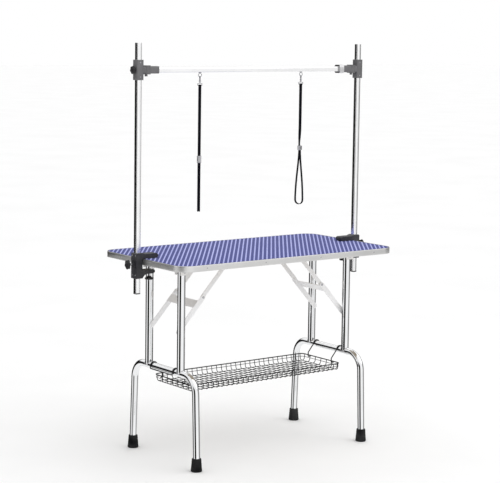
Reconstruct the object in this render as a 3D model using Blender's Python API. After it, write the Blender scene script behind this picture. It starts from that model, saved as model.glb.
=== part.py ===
"""Folding grooming table with an H-shaped overhead frame, two hanging nooses and a wire basket.

Metres, +Z up. The origin is on the floor under the middle of the top. +X is the right-hand end and
-Y is the front. Every piece that moves hangs from an empty that stands on its joint's axis.
"""
import math

import bmesh
import bpy
from mathutils import Vector

# Top
TOP_LENGTH = 1.1684
TOP_WIDTH = 0.6096
TOP_THICKNESS = 0.0254
TOP_HEIGHT = 0.880
TOP_CORNER_R = 0.065
BAND_WALL = 0.003
MAT_THICKNESS = 0.002
GAP = 0.0003
UNDERSIDE = TOP_HEIGHT - TOP_THICKNESS

# Leg frames
LEG_X = 0.455
UPRIGHT_Y = 0.120
UPRIGHT_R = 0.017
ARCH_TUBE_R = 0.015
TUBE_WALL = 0.0015
HINGE_Z = UNDERSIDE - 0.0266
UPRIGHT_ABOVE_HINGE = 0.011
ARCH_Z = 0.393
ARCH_BEND_R = 0.075
LEG_TOP_Y = 0.228
FOOT_Y = 0.242
FOOT_HEIGHT = 0.055
FOOT_BOTTOM_R = 0.024
FOOT_TOP_R = 0.020
FOOT_SOLE = 0.012
HINGE_ROD_R = 0.004
HINGE_HOLE_R = 0.0042
HINGE_ROD_HALF = 0.147

# Channel that carries a leg frame's hinge rod
CHANNEL_PLATE = 0.003
CHANNEL_HALF_X = 0.020
CHANNEL_EARS_Y = (0.0975, 0.1395)
CHANNEL_EAR_DROP = 0.039

# Braces: they reach the top BRACE_REACH inside the leg hinge, and the leg BRACE_DROP below it
BRACE_REACH = 0.240
BRACE_DROP = 0.260
LINK_WIDTH = 0.022
UPPER_LINK_WIDTH = 0.0194
LINK_THICKNESS = 0.003
UPPER_LINK_Y = 0.0920
LOWER_LINK_Y = 0.0980
LINK_PIN_R = 0.003
LINK_HOLE_R = 0.0031
RIVET_HEAD_R = 0.006
RIVET_HEAD = 0.002
PLATE_START = 0.026
PLATE_LENGTH = 0.038
PLATE_THICKNESS = 0.0025
BRACE_EAR_Y = 0.0885

# Basket
BASKET_X = 0.418
BASKET_Y = 0.140
BASKET_RIM_Z = 0.345
BASKET_FLOOR_Z = 0.312
BASKET_BAR = 0.003
BASKET_RIM_BAR = 0.005
BASKET_CROSS_BARS = 10
BASKET_LONG_BARS = 2
HANGER_R = 0.0025
HANGER_Y = 0.083
HANGER_INSET = 0.006
HANGER_CORNER = 0.004
HANGER_TAIL = 0.010

# Posts and crossbar, square tube
POST_X = 0.600
POST_SIZE = 0.022
POST_TOP = TOP_HEIGHT + 0.9017
POST_BOTTOM = 0.735
POST_WALL = 0.0015
BAR_Z = POST_TOP - 0.112
BAR_HALF_LENGTH = 0.575

# Sliders that carry the crossbar on the posts
SLIDER_SIZE = 0.034
SLIDER_HEIGHT = 0.084
SLEEVE_SIZE = 0.031
SLEEVE_END_X = 0.505
COLLAR_SIZE = 0.038
COLLAR_LENGTH = 0.026

# Table clamps
CLAMP_WIDTH = 0.040
CLAMP_WALL = 0.005
CLAMP_TOP = TOP_HEIGHT + 0.025
CLAMP_BOTTOM = TOP_HEIGHT - 0.083
JAW_THICKNESS = 0.020
UPPER_JAW_END_X = 0.506
LOWER_JAW_TOP = UNDERSIDE - 0.0226
LOWER_JAW_END_X = 0.522
SCREW_X = 0.538
SCREW_R = 0.004
SCREW_HOLE_R = 0.0042
PAD_R = 0.011
PAD_HEIGHT = 0.006
SCREW_KNOB_Z = 0.782
LOCK_Z = 0.858

# Nooses
NOOSE_X = {"left": -0.286, "right": 0.267}
VIEW_TURN = math.radians(35)
STRAP_WIDTH = 0.013
STRAP_THICKNESS = 0.003
EYE_R = 0.008
EYE_WIRE_R = 0.0015
LINK_DROP = 0.010
BARREL_TOP = 0.0125
BARREL_LENGTH = 0.010
STRAP_TOP_DROP = 0.037
SLIDE_DROP = {"left": 0.337, "right": 0.311}
NOOSE_DROP = {"left": 0.576, "right": 0.574}
NOOSE_HALF_WIDTH = {"left": 0.007, "right": 0.019}
NOOSE_TURN = {"left": math.radians(-90), "right": math.radians(-35)}
SLIDE_HEIGHT = {"left": 0.030, "right": 0.020}

SIDES = {"left": -1, "right": 1}
ENDS = {"front": -1, "rear": 1}


def clear_scene():
    for obj in list(bpy.data.objects):
        bpy.data.objects.remove(obj, do_unlink=True)


def make_collection(name):
    group = bpy.data.collections.new(name)
    bpy.context.scene.collection.children.link(group)
    return group


def material(name, color, roughness, metallic=0.0):
    mat = bpy.data.materials.new(name)
    mat.use_nodes = True
    shader = mat.node_tree.nodes["Principled BSDF"]
    shader.inputs["Base Color"].default_value = (*color, 1.0)
    shader.inputs["Roughness"].default_value = roughness
    shader.inputs["Metallic"].default_value = metallic
    return mat


FINISHES = {
    "chrome": ((0.80, 0.81, 0.82), 0.12, 1.0),
    "aluminium": ((0.74, 0.74, 0.75), 0.35, 1.0),
    "board": ((0.52, 0.42, 0.30), 0.70, 0.0),
    "mat": ((0.18, 0.17, 0.42), 0.75, 0.0),
    "rubber": ((0.02, 0.02, 0.02), 0.80, 0.0),
    "plastic": ((0.06, 0.06, 0.065), 0.45, 0.0),
    "grey_plastic": ((0.16, 0.16, 0.17), 0.45, 0.0),
    "white_steel": ((0.78, 0.78, 0.80), 0.35, 0.3),
    "black_wire": ((0.02, 0.02, 0.02), 0.40, 0.2),
    "zinc": ((0.62, 0.62, 0.64), 0.30, 1.0),
    "webbing": ((0.02, 0.02, 0.03), 0.85, 0.0),
}


class Build:
    """Collections and empties that the pieces are put in."""

    def __init__(self):
        self.parts = make_collection("grooming_table")
        self.cutters = make_collection("cutters")
        self.empties = {}

    def empty(self, name, place, parent=None):
        pivot = bpy.data.objects.new("pivot_" + name, None)
        self.parts.objects.link(pivot)
        pivot.location = place
        if parent:
            above = self.empties[parent]
            pivot.parent = above
            pivot.location = Vector(place) - above.matrix_world.translation
        bpy.context.view_layer.update()
        self.empties[name] = pivot
        return pivot

    def node(self, name, mesh, finish, body=None):
        obj = bpy.data.objects.new(name, mesh)
        self.parts.objects.link(obj)
        obj.data.materials.append(material(name, *FINISHES[finish]))
        if body:
            pivot = self.empties[body]
            obj.parent = pivot
            obj.location = -pivot.matrix_world.translation
        return obj

    def tool(self, name, mesh, host):
        obj = bpy.data.objects.new(name, mesh)
        self.cutters.objects.link(obj)
        obj.hide_render = True
        obj.display_type = "WIRE"
        obj.parent = host.parent
        obj.location = host.location
        return obj

    def boolean(self, host, mesh, operation):
        number = len(host.modifiers)
        tool = self.tool(f"{host.name}_tool_{number}", mesh, host)
        step = host.modifiers.new(f"{operation.lower()}_{number}", "BOOLEAN")
        step.operation = operation
        step.solver = "EXACT"
        step.object = tool

    def cut(self, host, mesh):
        self.boolean(host, mesh, "DIFFERENCE")

    def add(self, host, mesh):
        self.boolean(host, mesh, "UNION")


def closed_mesh(name, points, faces):
    mesh = bpy.data.meshes.new(name)
    mesh.from_pydata([tuple(p) for p in points], [], faces)
    shape = bmesh.new()
    shape.from_mesh(mesh)
    bmesh.ops.remove_doubles(shape, verts=shape.verts, dist=1e-7)
    bmesh.ops.recalc_face_normals(shape, faces=shape.faces)
    shape.to_mesh(mesh)
    shape.free()
    return mesh


def loft(name, rings, closed=False):
    """Joins rings of equally many points. The ends are capped unless the rings close on themselves."""
    count = len(rings[0])
    points = [p for ring in rings for p in ring]
    faces = []
    last = len(rings) if closed else len(rings) - 1
    for i in range(last):
        a, b = i * count, (i + 1) % len(rings) * count
        for k in range(count):
            n = (k + 1) % count
            faces.append((a + k, a + n, b + n, b + k))
    if not closed:
        faces.append(tuple(range(count - 1, -1, -1)))
        faces.append(tuple(range(len(points) - count, len(points))))
    return closed_mesh(name, points, faces)


def box(name, low, high):
    corners = [(low[0], low[1]), (high[0], low[1]), (high[0], high[1]), (low[0], high[1])]
    return loft(name, [[(x, y, z) for x, y in corners] for z in (low[2], high[2])])


AXES = {"X": (1, 2, 0), "Y": (0, 2, 1), "Z": (0, 1, 2)}


def along(axis, u, v, w):
    """The point that is w along the axis and (u, v) across it."""
    point = [0.0, 0.0, 0.0]
    for index, value in zip(AXES[axis], (u, v, w)):
        point[index] = value
    return tuple(point)


def prism(name, outline, axis, start, end):
    return loft(name, [[along(axis, u, v, w) for u, v in outline] for w in (start, end)])


def circle(radius, center=(0.0, 0.0), steps=16):
    turns = [2 * math.pi * (k + 0.5) / steps for k in range(steps)]
    return [(center[0] + radius * math.cos(t), center[1] + radius * math.sin(t)) for t in turns]


def cylinder(name, radius, center, axis, start, end, steps=16):
    return prism(name, circle(radius, center, steps), axis, start, end)


def rounded_rectangle(half_u, half_v, radius, steps=6, center=(0.0, 0.0)):
    points = []
    for quarter, (su, sv) in enumerate([(1, 1), (-1, 1), (-1, -1), (1, -1)]):
        for k in range(steps + 1):
            turn = math.pi / 2 * (quarter + k / steps)
            u = center[0] + su * (half_u - radius) + radius * math.cos(turn)
            v = center[1] + sv * (half_v - radius) + radius * math.sin(turn)
            points.append((u, v))
    return points


def hollow(name, outer, inner, axis, start, end):
    """A straight tube between two outlines with equally many points."""
    rings = []
    for outline, w in ((outer, start), (outer, end), (inner, end), (inner, start)):
        rings.append([along(axis, u, v, w) for u, v in outline])
    return loft(name, rings, closed=True)


def turned(name, profile, place, direction, steps=20, lobes=0):
    """A turned solid. profile holds (radius, height, lobe depth) from one end to the other."""
    normal = Vector(direction).normalized()
    side = normal.orthogonal().normalized()
    other = normal.cross(side)
    rings = []
    for radius, height, depth in profile:
        ring = []
        for k in range(steps):
            turn = 2 * math.pi * (k + 0.5) / steps
            r = radius - depth * (0.5 - 0.5 * math.cos(lobes * turn))
            offset = side * (r * math.cos(turn)) + other * (r * math.sin(turn))
            ring.append(Vector(place) + normal * height + offset)
        rings.append(ring)
    return loft(name, rings)


def frames(path, first_side):
    """Directions at each point of a path, carried along without twist."""
    count = len(path)
    tangents = []
    for i in range(count):
        before = (path[i] - path[i - 1]).normalized() if i else None
        after = (path[i + 1] - path[i]).normalized() if i < count - 1 else None
        tangents.append(((before or after) + (after or before)).normalized())
    side = Vector(first_side)
    found = []
    for i, tangent in enumerate(tangents):
        side = (side - tangent * side.dot(tangent)).normalized()
        stretch = 1.0
        if 0 < i < count - 1:
            turn = (path[i + 1] - path[i]).normalized().dot(tangent)
            stretch = 1 / max(turn, 0.5)
        found.append((tangent, side, tangent.cross(side).normalized(), stretch))
    return found


def bend_ring(point, frame, section, bend):
    """A section's points around one point of a path, stretched across a sharp corner."""
    _, side, other, stretch = frame
    ring = []
    for u, v in section:
        offset = side * u + other * v
        if bend.length > 1e-9:
            offset += bend * (offset.dot(bend) * (stretch - 1))
        ring.append(point + offset)
    return ring


def swept_rings(path, section, first_side):
    path = [Vector(p) for p in path]
    rings = []
    for i, frame in enumerate(frames(path, first_side)):
        bend = Vector((0, 0, 0))
        if 0 < i < len(path) - 1:
            bend = (path[i + 1] - path[i]).normalized() - (path[i] - path[i - 1]).normalized()
            bend = bend.normalized() if bend.length > 1e-6 else Vector((0, 0, 0))
        rings.append(bend_ring(path[i], frame, section, bend))
    return rings


def rod(name, path, radius, first_side, steps=6):
    return loft(name, swept_rings(path, circle(radius, steps=steps), first_side))


def pipe(name, path, radius, wall, first_side, steps=16):
    outer = swept_rings(path, circle(radius, steps=steps), first_side)
    inner = swept_rings(path, circle(radius - wall, steps=steps), first_side)
    return loft(name, outer + inner[::-1], closed=True)


def arc(center, radius, start, end, steps):
    """Points of an arc in a plane, angles in degrees."""
    points = []
    for k in range(steps + 1):
        turn = math.radians(start + (end - start) * k / steps)
        points.append((center[0] + radius * math.cos(turn), center[1] + radius * math.sin(turn)))
    return points


def stadium(start, end, width, steps=8):
    """Outline of a flat link with round ends about two points of a plane."""
    across = math.degrees(math.atan2(end[1] - start[1], end[0] - start[0]))
    far = arc(end, width / 2, across - 90, across + 90, steps)
    near = arc(start, width / 2, across + 90, across + 270, steps)
    return far + near


def build_top(build):
    half_x, half_y = TOP_LENGTH / 2, TOP_WIDTH / 2
    inset = BAND_WALL + GAP
    outer = rounded_rectangle(half_x, half_y, TOP_CORNER_R, 8)
    inner = rounded_rectangle(half_x - BAND_WALL, half_y - BAND_WALL, TOP_CORNER_R - BAND_WALL, 8)
    core = rounded_rectangle(half_x - inset, half_y - inset, TOP_CORNER_R - inset, 8)
    seam = TOP_HEIGHT - MAT_THICKNESS
    build.node("edge_band", hollow("edge_band", outer, inner, "Z", UNDERSIDE, TOP_HEIGHT), "aluminium")
    build.node("tabletop_board", prism("tabletop_board", core, "Z", UNDERSIDE, seam - GAP), "board")
    build.node("non_slip_mat", prism("non_slip_mat", core, "Z", seam, TOP_HEIGHT), "mat")


def channel_outline():
    """Section of the hinge channel across the table: a plate with four ears."""
    top = UNDERSIDE - GAP
    plate = top - CHANNEL_PLATE
    low = top - CHANNEL_EAR_DROP
    half = CHANNEL_EARS_Y[1] + CHANNEL_PLATE
    edges = []
    for ear in (-CHANNEL_EARS_Y[1], -CHANNEL_EARS_Y[0], CHANNEL_EARS_Y[0], CHANNEL_EARS_Y[1]):
        outside = ear + math.copysign(CHANNEL_PLATE, ear)
        edges.append((min(ear, outside), max(ear, outside)))
    points = [(-half, top)]
    for low_y, high_y in edges:
        if low_y > -half:
            points.append((low_y, plate))
        points += [(low_y, low), (high_y, low)]
        if high_y < half:
            points.append((high_y, plate))
    points.append((half, top))
    return points


def build_leg_channel(build, side, sign):
    name = f"{side}_leg_channel"
    x = sign * LEG_X
    shape = prism(name, channel_outline(), "X", x - CHANNEL_HALF_X, x + CHANNEL_HALF_X)
    channel = build.node(name, shape, "white_steel")
    hole = cylinder(name + "_hole", HINGE_HOLE_R, (x, HINGE_Z), "Y", -0.16, 0.16)
    build.cut(channel, hole)
    pin = cylinder(name, HINGE_ROD_R, (x, HINGE_Z), "Y", -HINGE_ROD_HALF, HINGE_ROD_HALF)
    build.node(f"{side}_leg_hinge_rod", pin, "zinc")


def build_upright(build, side, sign, end, across):
    name = f"{side}_upright_{end}"
    center = (sign * LEG_X, across * UPRIGHT_Y)
    outer = circle(UPRIGHT_R, center, 24)
    inner = circle(UPRIGHT_R - TUBE_WALL, center, 24)
    top = HINGE_Z + UPRIGHT_ABOVE_HINGE
    shape = hollow(name, outer, inner, "Z", ARCH_Z + 0.004, top)
    upright = build.node(name, shape, "chrome", f"{side}_leg")
    seat = (sign * LEG_X, ARCH_Z)
    reach = across * UPRIGHT_Y
    build.cut(upright, cylinder(name, ARCH_TUBE_R + GAP, seat, "Y", reach - 0.03, reach + 0.03, 24))
    hinge = (sign * LEG_X, HINGE_Z)
    build.cut(upright, cylinder(name, HINGE_HOLE_R, hinge, "Y", reach - 0.03, reach + 0.03))


def arch_path(x):
    """Centre line of a leg arch, from one foot up, across and down to the other."""
    half = [(FOOT_Y, FOOT_SOLE + GAP), (FOOT_Y, FOOT_HEIGHT + 0.006)]
    half += arc((LEG_TOP_Y - ARCH_BEND_R, ARCH_Z - ARCH_BEND_R), ARCH_BEND_R, 2, 90, 7)
    points = [(-y, z) for y, z in half] + [(y, z) for y, z in half[::-1]]
    return [(x, y, z) for y, z in points]


def build_arch(build, side, sign):
    name = f"{side}_leg_arch"
    shape = pipe(name, arch_path(sign * LEG_X), ARCH_TUBE_R, TUBE_WALL, (1, 0, 0))
    build.node(name, shape, "chrome", f"{side}_leg")


def build_foot(build, side, sign, end, across):
    name = f"{side}_foot_{end}"
    bore = ARCH_TUBE_R + GAP
    profile = [
        (FOOT_BOTTOM_R - 0.002, 0.0, 0),
        (FOOT_BOTTOM_R, 0.003, 0),
        (FOOT_BOTTOM_R - 0.001, 0.012, 0),
        (FOOT_TOP_R, FOOT_HEIGHT - 0.002, 0),
        (FOOT_TOP_R - 0.001, FOOT_HEIGHT, 0),
        (bore, FOOT_HEIGHT, 0),
        (bore, FOOT_SOLE, 0),
    ]
    place = (sign * LEG_X, across * FOOT_Y, 0)
    build.node(name, turned(name, profile, place, (0, 0, 1)), "rubber", f"{side}_leg")


def hanger_path(sign):
    """A wire that hooks over the arch twice and carries the basket's end rim on its two toes."""
    steps = 7
    reach = ARCH_TUBE_R + GAP + HANGER_R
    around = reach / math.cos(math.pi / steps / 2)
    over = arc((LEG_X, ARCH_Z), around, 0, 180, steps)
    toe_z = BASKET_RIM_Z - BASKET_RIM_BAR - GAP - HANGER_R
    inner_x = BASKET_X - BASKET_RIM_BAR - HANGER_INSET
    drop = [(inner_x, BASKET_RIM_Z + 0.012), (inner_x, toe_z + 0.003), (inner_x + 0.003, toe_z)]
    hook = over + drop + [(BASKET_X + 0.002, toe_z)]
    back = [(sign * x, -HANGER_Y, z) for x, z in hook[::-1]]
    front = [(sign * x, HANGER_Y, z) for x, z in hook]
    outer_x = sign * (LEG_X + around)
    low_z = ARCH_Z - HANGER_TAIL
    near, far = HANGER_Y, HANGER_Y - HANGER_CORNER
    low = [(outer_x, near, low_z + HANGER_CORNER), (outer_x, far, low_z)]
    return back + [(x, -y, z) for x, y, z in low] + low[::-1] + front


def build_hanger(build, side, sign):
    name = f"{side}_basket_hanger"
    build.node(name, rod(name, hanger_path(sign), HANGER_R, (0, 1, 0)), "black_wire", "basket")


def build_leg(build, side, sign):
    build.empty(f"{side}_leg", (sign * LEG_X, 0, HINGE_Z))
    for end, across in ENDS.items():
        build_upright(build, side, sign, end, across)
        build_foot(build, side, sign, end, across)
    build_arch(build, side, sign)


def brace_points(sign):
    """Top pivot, knee and leg pivot of a brace, in the X-Z plane."""
    straight = math.hypot(BRACE_REACH, BRACE_DROP)
    upper = (straight + BRACE_REACH - BRACE_DROP) / 2
    top = Vector((LEG_X - BRACE_REACH, HINGE_Z))
    foot = Vector((LEG_X, HINGE_Z - BRACE_DROP))
    knee = top + (foot - top) * (upper / straight)
    return [Vector((sign * p.x, p.y)) for p in (top, knee, foot)]


def layer(across, near, thickness):
    """Start and end along Y of something flat that lies near the middle on one side of it."""
    return sorted((across * near, across * (near + thickness)))


def build_brace_bracket(build, side, sign, end, across):
    name = f"{side}_brace_bracket_{end}"
    top = brace_points(sign)[0]
    ceiling = UNDERSIDE - GAP
    half = 0.014
    outline = [(top.x - half, ceiling), (top.x + half, ceiling), (top.x + half, top.y)]
    outline += arc((top.x, top.y), half, 0, -180, 8)[1:]
    ear = prism(name, outline, "Y", *layer(across, BRACE_EAR_Y, LINK_THICKNESS))
    bracket = build.node(name, ear, "white_steel")
    flange_y = layer(across, BRACE_EAR_Y - 0.019, 0.0205)
    low = (top.x - 0.018, flange_y[0], ceiling - CHANNEL_PLATE)
    build.add(bracket, box(name, low, (top.x + 0.018, flange_y[1], ceiling)))
    pin_y = layer(across, BRACE_EAR_Y + 0.001, UPPER_LINK_Y + LINK_THICKNESS - BRACE_EAR_Y)
    build.add(bracket, cylinder(name, LINK_PIN_R, top, "Y", *pin_y))
    head_y = layer(across, UPPER_LINK_Y + LINK_THICKNESS + GAP, RIVET_HEAD)
    build.add(bracket, cylinder(name, RIVET_HEAD_R, top, "Y", *head_y))


def build_upper_link(build, side, sign, end, across):
    name = f"{side}_upper_link_{end}"
    top, knee, _ = brace_points(sign)
    outline = stadium(top, knee, UPPER_LINK_WIDTH)
    span = layer(across, UPPER_LINK_Y, LINK_THICKNESS)
    link = build.node(name, prism(name, outline, "Y", *span), "white_steel", f"{side}_upper_links")
    for pivot in (top, knee):
        build.cut(link, cylinder(name, LINK_HOLE_R, pivot, "Y", span[0] - 0.002, span[1] + 0.002))


def add_lower_link(build, frame, knee, foot, across):
    """The flat bar with its knee pin and its leg rivet."""
    name = frame.name
    knee_head = layer(across, UPPER_LINK_Y - GAP - RIVET_HEAD, RIVET_HEAD + 0.0002)
    knee_pin = layer(across, UPPER_LINK_Y - GAP, LOWER_LINK_Y - UPPER_LINK_Y + 0.001)
    spacer = layer(across, UPPER_LINK_Y + LINK_THICKNESS + GAP, 0.0030)
    foot_head = layer(across, LOWER_LINK_Y - RIVET_HEAD, RIVET_HEAD + 0.001)
    foot_tip = layer(across, LOWER_LINK_Y + LINK_THICKNESS - 0.001, 0.0025)
    build.add(frame, cylinder(name, LINK_PIN_R, knee, "Y", *knee_pin))
    build.add(frame, cylinder(name, RIVET_HEAD_R, knee, "Y", *knee_head))
    build.add(frame, cylinder(name, RIVET_HEAD_R + 0.001, knee, "Y", *spacer))
    build.add(frame, cylinder(name, RIVET_HEAD_R, foot, "Y", *foot_head))
    build.add(frame, cylinder(name, RIVET_HEAD_R - 0.001, foot, "Y", *foot_tip))


def build_lower_brace(build, side, sign):
    """Both lower links of a leg and the plate that joins them, on the outer edge of the fold."""
    name = f"{side}_lower_brace"
    _, knee, foot = brace_points(sign)
    outline = stadium(knee, foot, LINK_WIDTH)
    front = prism(name, outline, "Y", *layer(-1, LOWER_LINK_Y, LINK_THICKNESS))
    frame = build.node(name, front, "white_steel", f"{side}_lower_brace")
    build.add(frame, prism(name, outline, "Y", *layer(1, LOWER_LINK_Y, LINK_THICKNESS)))
    line = (foot - knee).normalized()
    out = Vector((-line.y, line.x)) * sign
    start = knee + line * PLATE_START + out * (LINK_WIDTH / 2 - 0.001)
    end = start + line * PLATE_LENGTH
    thick = out * PLATE_THICKNESS
    half = LOWER_LINK_Y + LINK_THICKNESS - 0.0005
    build.add(frame, prism(name, [start, end, end + thick, start + thick], "Y", -half, half))
    for across in ENDS.values():
        add_lower_link(build, frame, knee, foot, across)


def build_braces(build, side, sign):
    top, knee, _ = brace_points(sign)
    build.empty(f"{side}_upper_links", (top.x, 0, top.y))
    build.empty(f"{side}_lower_brace", (knee.x, 0, knee.y), f"{side}_upper_links")
    for end, across in ENDS.items():
        build_brace_bracket(build, side, sign, end, across)
        build_upper_link(build, side, sign, end, across)
    build_lower_brace(build, side, sign)


def stops(low, high, bar, edge, count):
    """Edges of the bars across a grille: an edge bar at each end and evenly spaced bars between."""
    places = [low, low + edge]
    for k in range(count):
        middle = low + (high - low) * (k + 1) / (count + 1)
        places += [middle - bar / 2, middle + bar / 2]
    return places + [high - edge, high]


def grille(name, us, vs, axis, start, end):
    """A flat grille: bars between each pair of stops both ways, with rectangular openings."""
    shape = bmesh.new()
    corners = {}
    for i, u in enumerate(us):
        for j, v in enumerate(vs):
            for w in (start, end):
                corners[i, j, w] = shape.verts.new(along(axis, u, v, w))

    def solid(i, j):
        inside = 0 <= i < len(us) - 1 and 0 <= j < len(vs) - 1
        return inside and (i % 2 == 0 or j % 2 == 0)

    for i in range(len(us) - 1):
        for j in range(len(vs) - 1):
            if not solid(i, j):
                continue
            square = [(i, j), (i + 1, j), (i + 1, j + 1), (i, j + 1)]
            for w in (start, end):
                shape.faces.new([corners[a, b, w] for a, b in square])
            for k, (di, dj) in enumerate(((0, -1), (1, 0), (0, 1), (-1, 0))):
                if solid(i + di, j + dj):
                    continue
                a, b = square[k], square[(k + 1) % 4]
                wall = [corners[(*a, start)], corners[(*b, start)], corners[(*b, end)], corners[(*a, end)]]
                shape.faces.new(wall)
    bmesh.ops.delete(shape, geom=[v for v in shape.verts if not v.link_faces], context="VERTS")
    bmesh.ops.recalc_face_normals(shape, faces=shape.faces)
    mesh = bpy.data.meshes.new(name)
    shape.to_mesh(mesh)
    shape.free()
    return mesh


def build_basket(build):
    build.empty("basket", (0, 0, BASKET_FLOOR_Z))
    x, y, bar, rim = BASKET_X, BASKET_Y, BASKET_BAR, BASKET_RIM_BAR
    across = stops(-x, x, bar, rim, BASKET_CROSS_BARS)
    deep = stops(-y, y, bar, rim, BASKET_LONG_BARS)
    floor = grille("basket_floor", across, deep, "Z", BASKET_FLOOR_Z, BASKET_FLOOR_Z + bar)
    build.node("basket_floor", floor, "black_wire", "basket")
    low, high = BASKET_FLOOR_Z + bar + GAP, BASKET_RIM_Z
    heights = [low, low + bar, high - rim, high]
    for end, sign in ENDS.items():
        name = f"basket_wall_{end}"
        span = sorted((sign * y, sign * (y - rim)))
        build.node(name, grille(name, across, heights, "Y", *span), "black_wire", "basket")
    inner = y - rim - GAP
    narrow = stops(-inner, inner, bar, rim, BASKET_LONG_BARS)
    for side, sign in SIDES.items():
        name = f"basket_wall_{side}"
        span = sorted((sign * x, sign * (x - rim)))
        build.node(name, grille(name, narrow, heights, "X", *span), "black_wire", "basket")
        build_hanger(build, side, sign)


def square_tube(name, center, axis, start, end):
    half = POST_SIZE / 2
    outer = rounded_rectangle(half, half, 0.003, 3, center)
    inner = rounded_rectangle(half - POST_WALL, half - POST_WALL, 0.0015, 3, center)
    return hollow(name, outer, inner, axis, start, end)


def build_post(build, side, sign):
    build.empty(f"{side}_post", (sign * POST_X, 0, CLAMP_TOP))
    shape = square_tube(f"{side}_post", (sign * POST_X, 0), "Z", POST_BOTTOM, POST_TOP)
    build.node(f"{side}_post", shape, "chrome", f"{side}_post")
    name = f"{side}_post_plug"
    half = POST_SIZE / 2
    neck = half - POST_WALL - GAP
    outline = [(half, 0.0), (half, 0.003), (neck, 0.003), (neck, 0.014)]
    rings = []
    for reach, height in [(half - 0.002, -0.002)] + outline:
        square = rounded_rectangle(reach, reach, 0.0012, 3, (sign * POST_X, 0))
        rings.append([(u, v, POST_BOTTOM - GAP - 0.003 + height) for u, v in square])
    build.node(name, loft(name, rings), "plastic", f"{side}_post")


def knob(name, place, direction, reach, radius, thickness):
    """A lobed knob on a plain shaft whose tip is at place, reach from the knob's back."""
    profile = [
        (SCREW_R, 0.0, 0),
        (SCREW_R, reach, 0),
        (SCREW_R + 0.005, reach + 0.001, 0),
        (SCREW_R + 0.005, reach + 0.004, 0),
        (radius, reach + 0.006, 0.003),
        (radius, reach + thickness + 0.002, 0.003),
        (radius - 0.003, reach + thickness + 0.005, 0.003),
    ]
    return turned(name, profile, place, direction, steps=24, lobes=6)


def build_slider(build, side, sign):
    """A housing on the post with a sleeve for the crossbar's end."""
    name = f"{side}_slider"
    half = SLIDER_SIZE / 2
    x = sign * POST_X
    outline = rounded_rectangle(half, half, 0.005, 3, (x, 0))
    low, high = BAR_Z - SLIDER_HEIGHT / 2, BAR_Z + SLIDER_HEIGHT / 2
    slider = build.node(name, prism(name, outline, "Z", low, high), "grey_plastic", "bar")
    reach = sorted((sign * SLEEVE_END_X, sign * (POST_X - half + 0.002)))
    sleeve = rounded_rectangle(SLEEVE_SIZE / 2, SLEEVE_SIZE / 2, 0.006, 3, (0, BAR_Z))
    build.add(slider, prism(name, sleeve, "X", *reach))
    tee_x = sign * (POST_X - half - 0.022)
    build.add(slider, cylinder(name, 0.019, (tee_x, 0), "Z", BAR_Z - 0.0185, BAR_Z + 0.0185))
    build.add(slider, cylinder(name, 0.006, (tee_x, 0), "Z", BAR_Z - 0.027, BAR_Z - 0.018))
    room = POST_SIZE / 2 + GAP
    build.cut(slider, box(name, (x - room, -room, low - 0.01), (x + room, room, high + 0.01)))
    end = sign * (BAR_HALF_LENGTH + 0.0005)
    mouth = sign * (SLEEVE_END_X - 0.01)
    low_x, high_x = sorted((end, mouth))
    build.cut(slider, box(name, (low_x, -room, BAR_Z - room), (high_x, room, BAR_Z + room)))
    direction = (sign, 0, 0) if side == "left" else (0, 1, 0)
    hole_axis = "X" if side == "left" else "Y"
    start = x + sign * 0.005 if side == "left" else 0.005
    stop = x + sign * 0.03 if side == "left" else 0.03
    center = (0, BAR_Z) if side == "left" else (x, BAR_Z)
    low_w, high_w = sorted((start, stop))
    build.cut(slider, cylinder(name, SCREW_HOLE_R, center, hole_axis, low_w, high_w))
    tip = Vector((x, 0, BAR_Z)) + Vector(direction) * room
    build.empty(f"{side}_slider_knob", tip, "bar")
    shape = knob(f"{side}_slider_knob", tip, direction, 0.008, 0.018, 0.008)
    build.node(f"{side}_slider_knob", shape, "plastic", f"{side}_slider_knob")


def build_bar(build):
    build.empty("bar", (-POST_X, 0, BAR_Z), "left_post")
    shape = square_tube("crossbar", (0, BAR_Z), "X", -BAR_HALF_LENGTH, BAR_HALF_LENGTH)
    build.node("crossbar", shape, "chrome", "bar")
    for side, sign in SIDES.items():
        build_slider(build, side, sign)
    end = SLEEVE_END_X - GAP
    half = COLLAR_SIZE / 2
    outer = rounded_rectangle(half, half, 0.008, 3, (0, BAR_Z))
    room = POST_SIZE / 2 + GAP
    inner = rounded_rectangle(room, room, 0.002, 3, (0, BAR_Z))
    collar = hollow("bar_collar", outer, inner, "X", end - COLLAR_LENGTH, end)
    build.node("bar_collar", collar, "aluminium", "bar")


def clamp_outline(sign):
    """Side view of a table clamp: a block on the post with a jaw over and a jaw under the top."""
    outer = POST_X + POST_SIZE / 2 + GAP + CLAMP_WALL
    inner = TOP_LENGTH / 2 + GAP
    above = TOP_HEIGHT + GAP
    points = [(outer, CLAMP_BOTTOM), (outer, CLAMP_TOP - 0.004), (outer - 0.004, CLAMP_TOP)]
    points += [(inner, CLAMP_TOP), (inner - 0.012, above + JAW_THICKNESS)]
    points += arc((UPPER_JAW_END_X + 0.01, above + JAW_THICKNESS / 2), JAW_THICKNESS / 2, 90, 270, 6)
    points += [(inner, above), (inner, LOWER_JAW_TOP)]
    points += [(LOWER_JAW_END_X + 0.004, LOWER_JAW_TOP), (LOWER_JAW_END_X, LOWER_JAW_TOP - 0.004)]
    points += [(LOWER_JAW_END_X, LOWER_JAW_TOP - 0.012), (LOWER_JAW_END_X + 0.008, LOWER_JAW_TOP - 0.017)]
    points += arc((inner - 0.026, CLAMP_BOTTOM - 0.008), 0.026, 90, 20, 5)
    return [(sign * x, z) for x, z in points]


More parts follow.
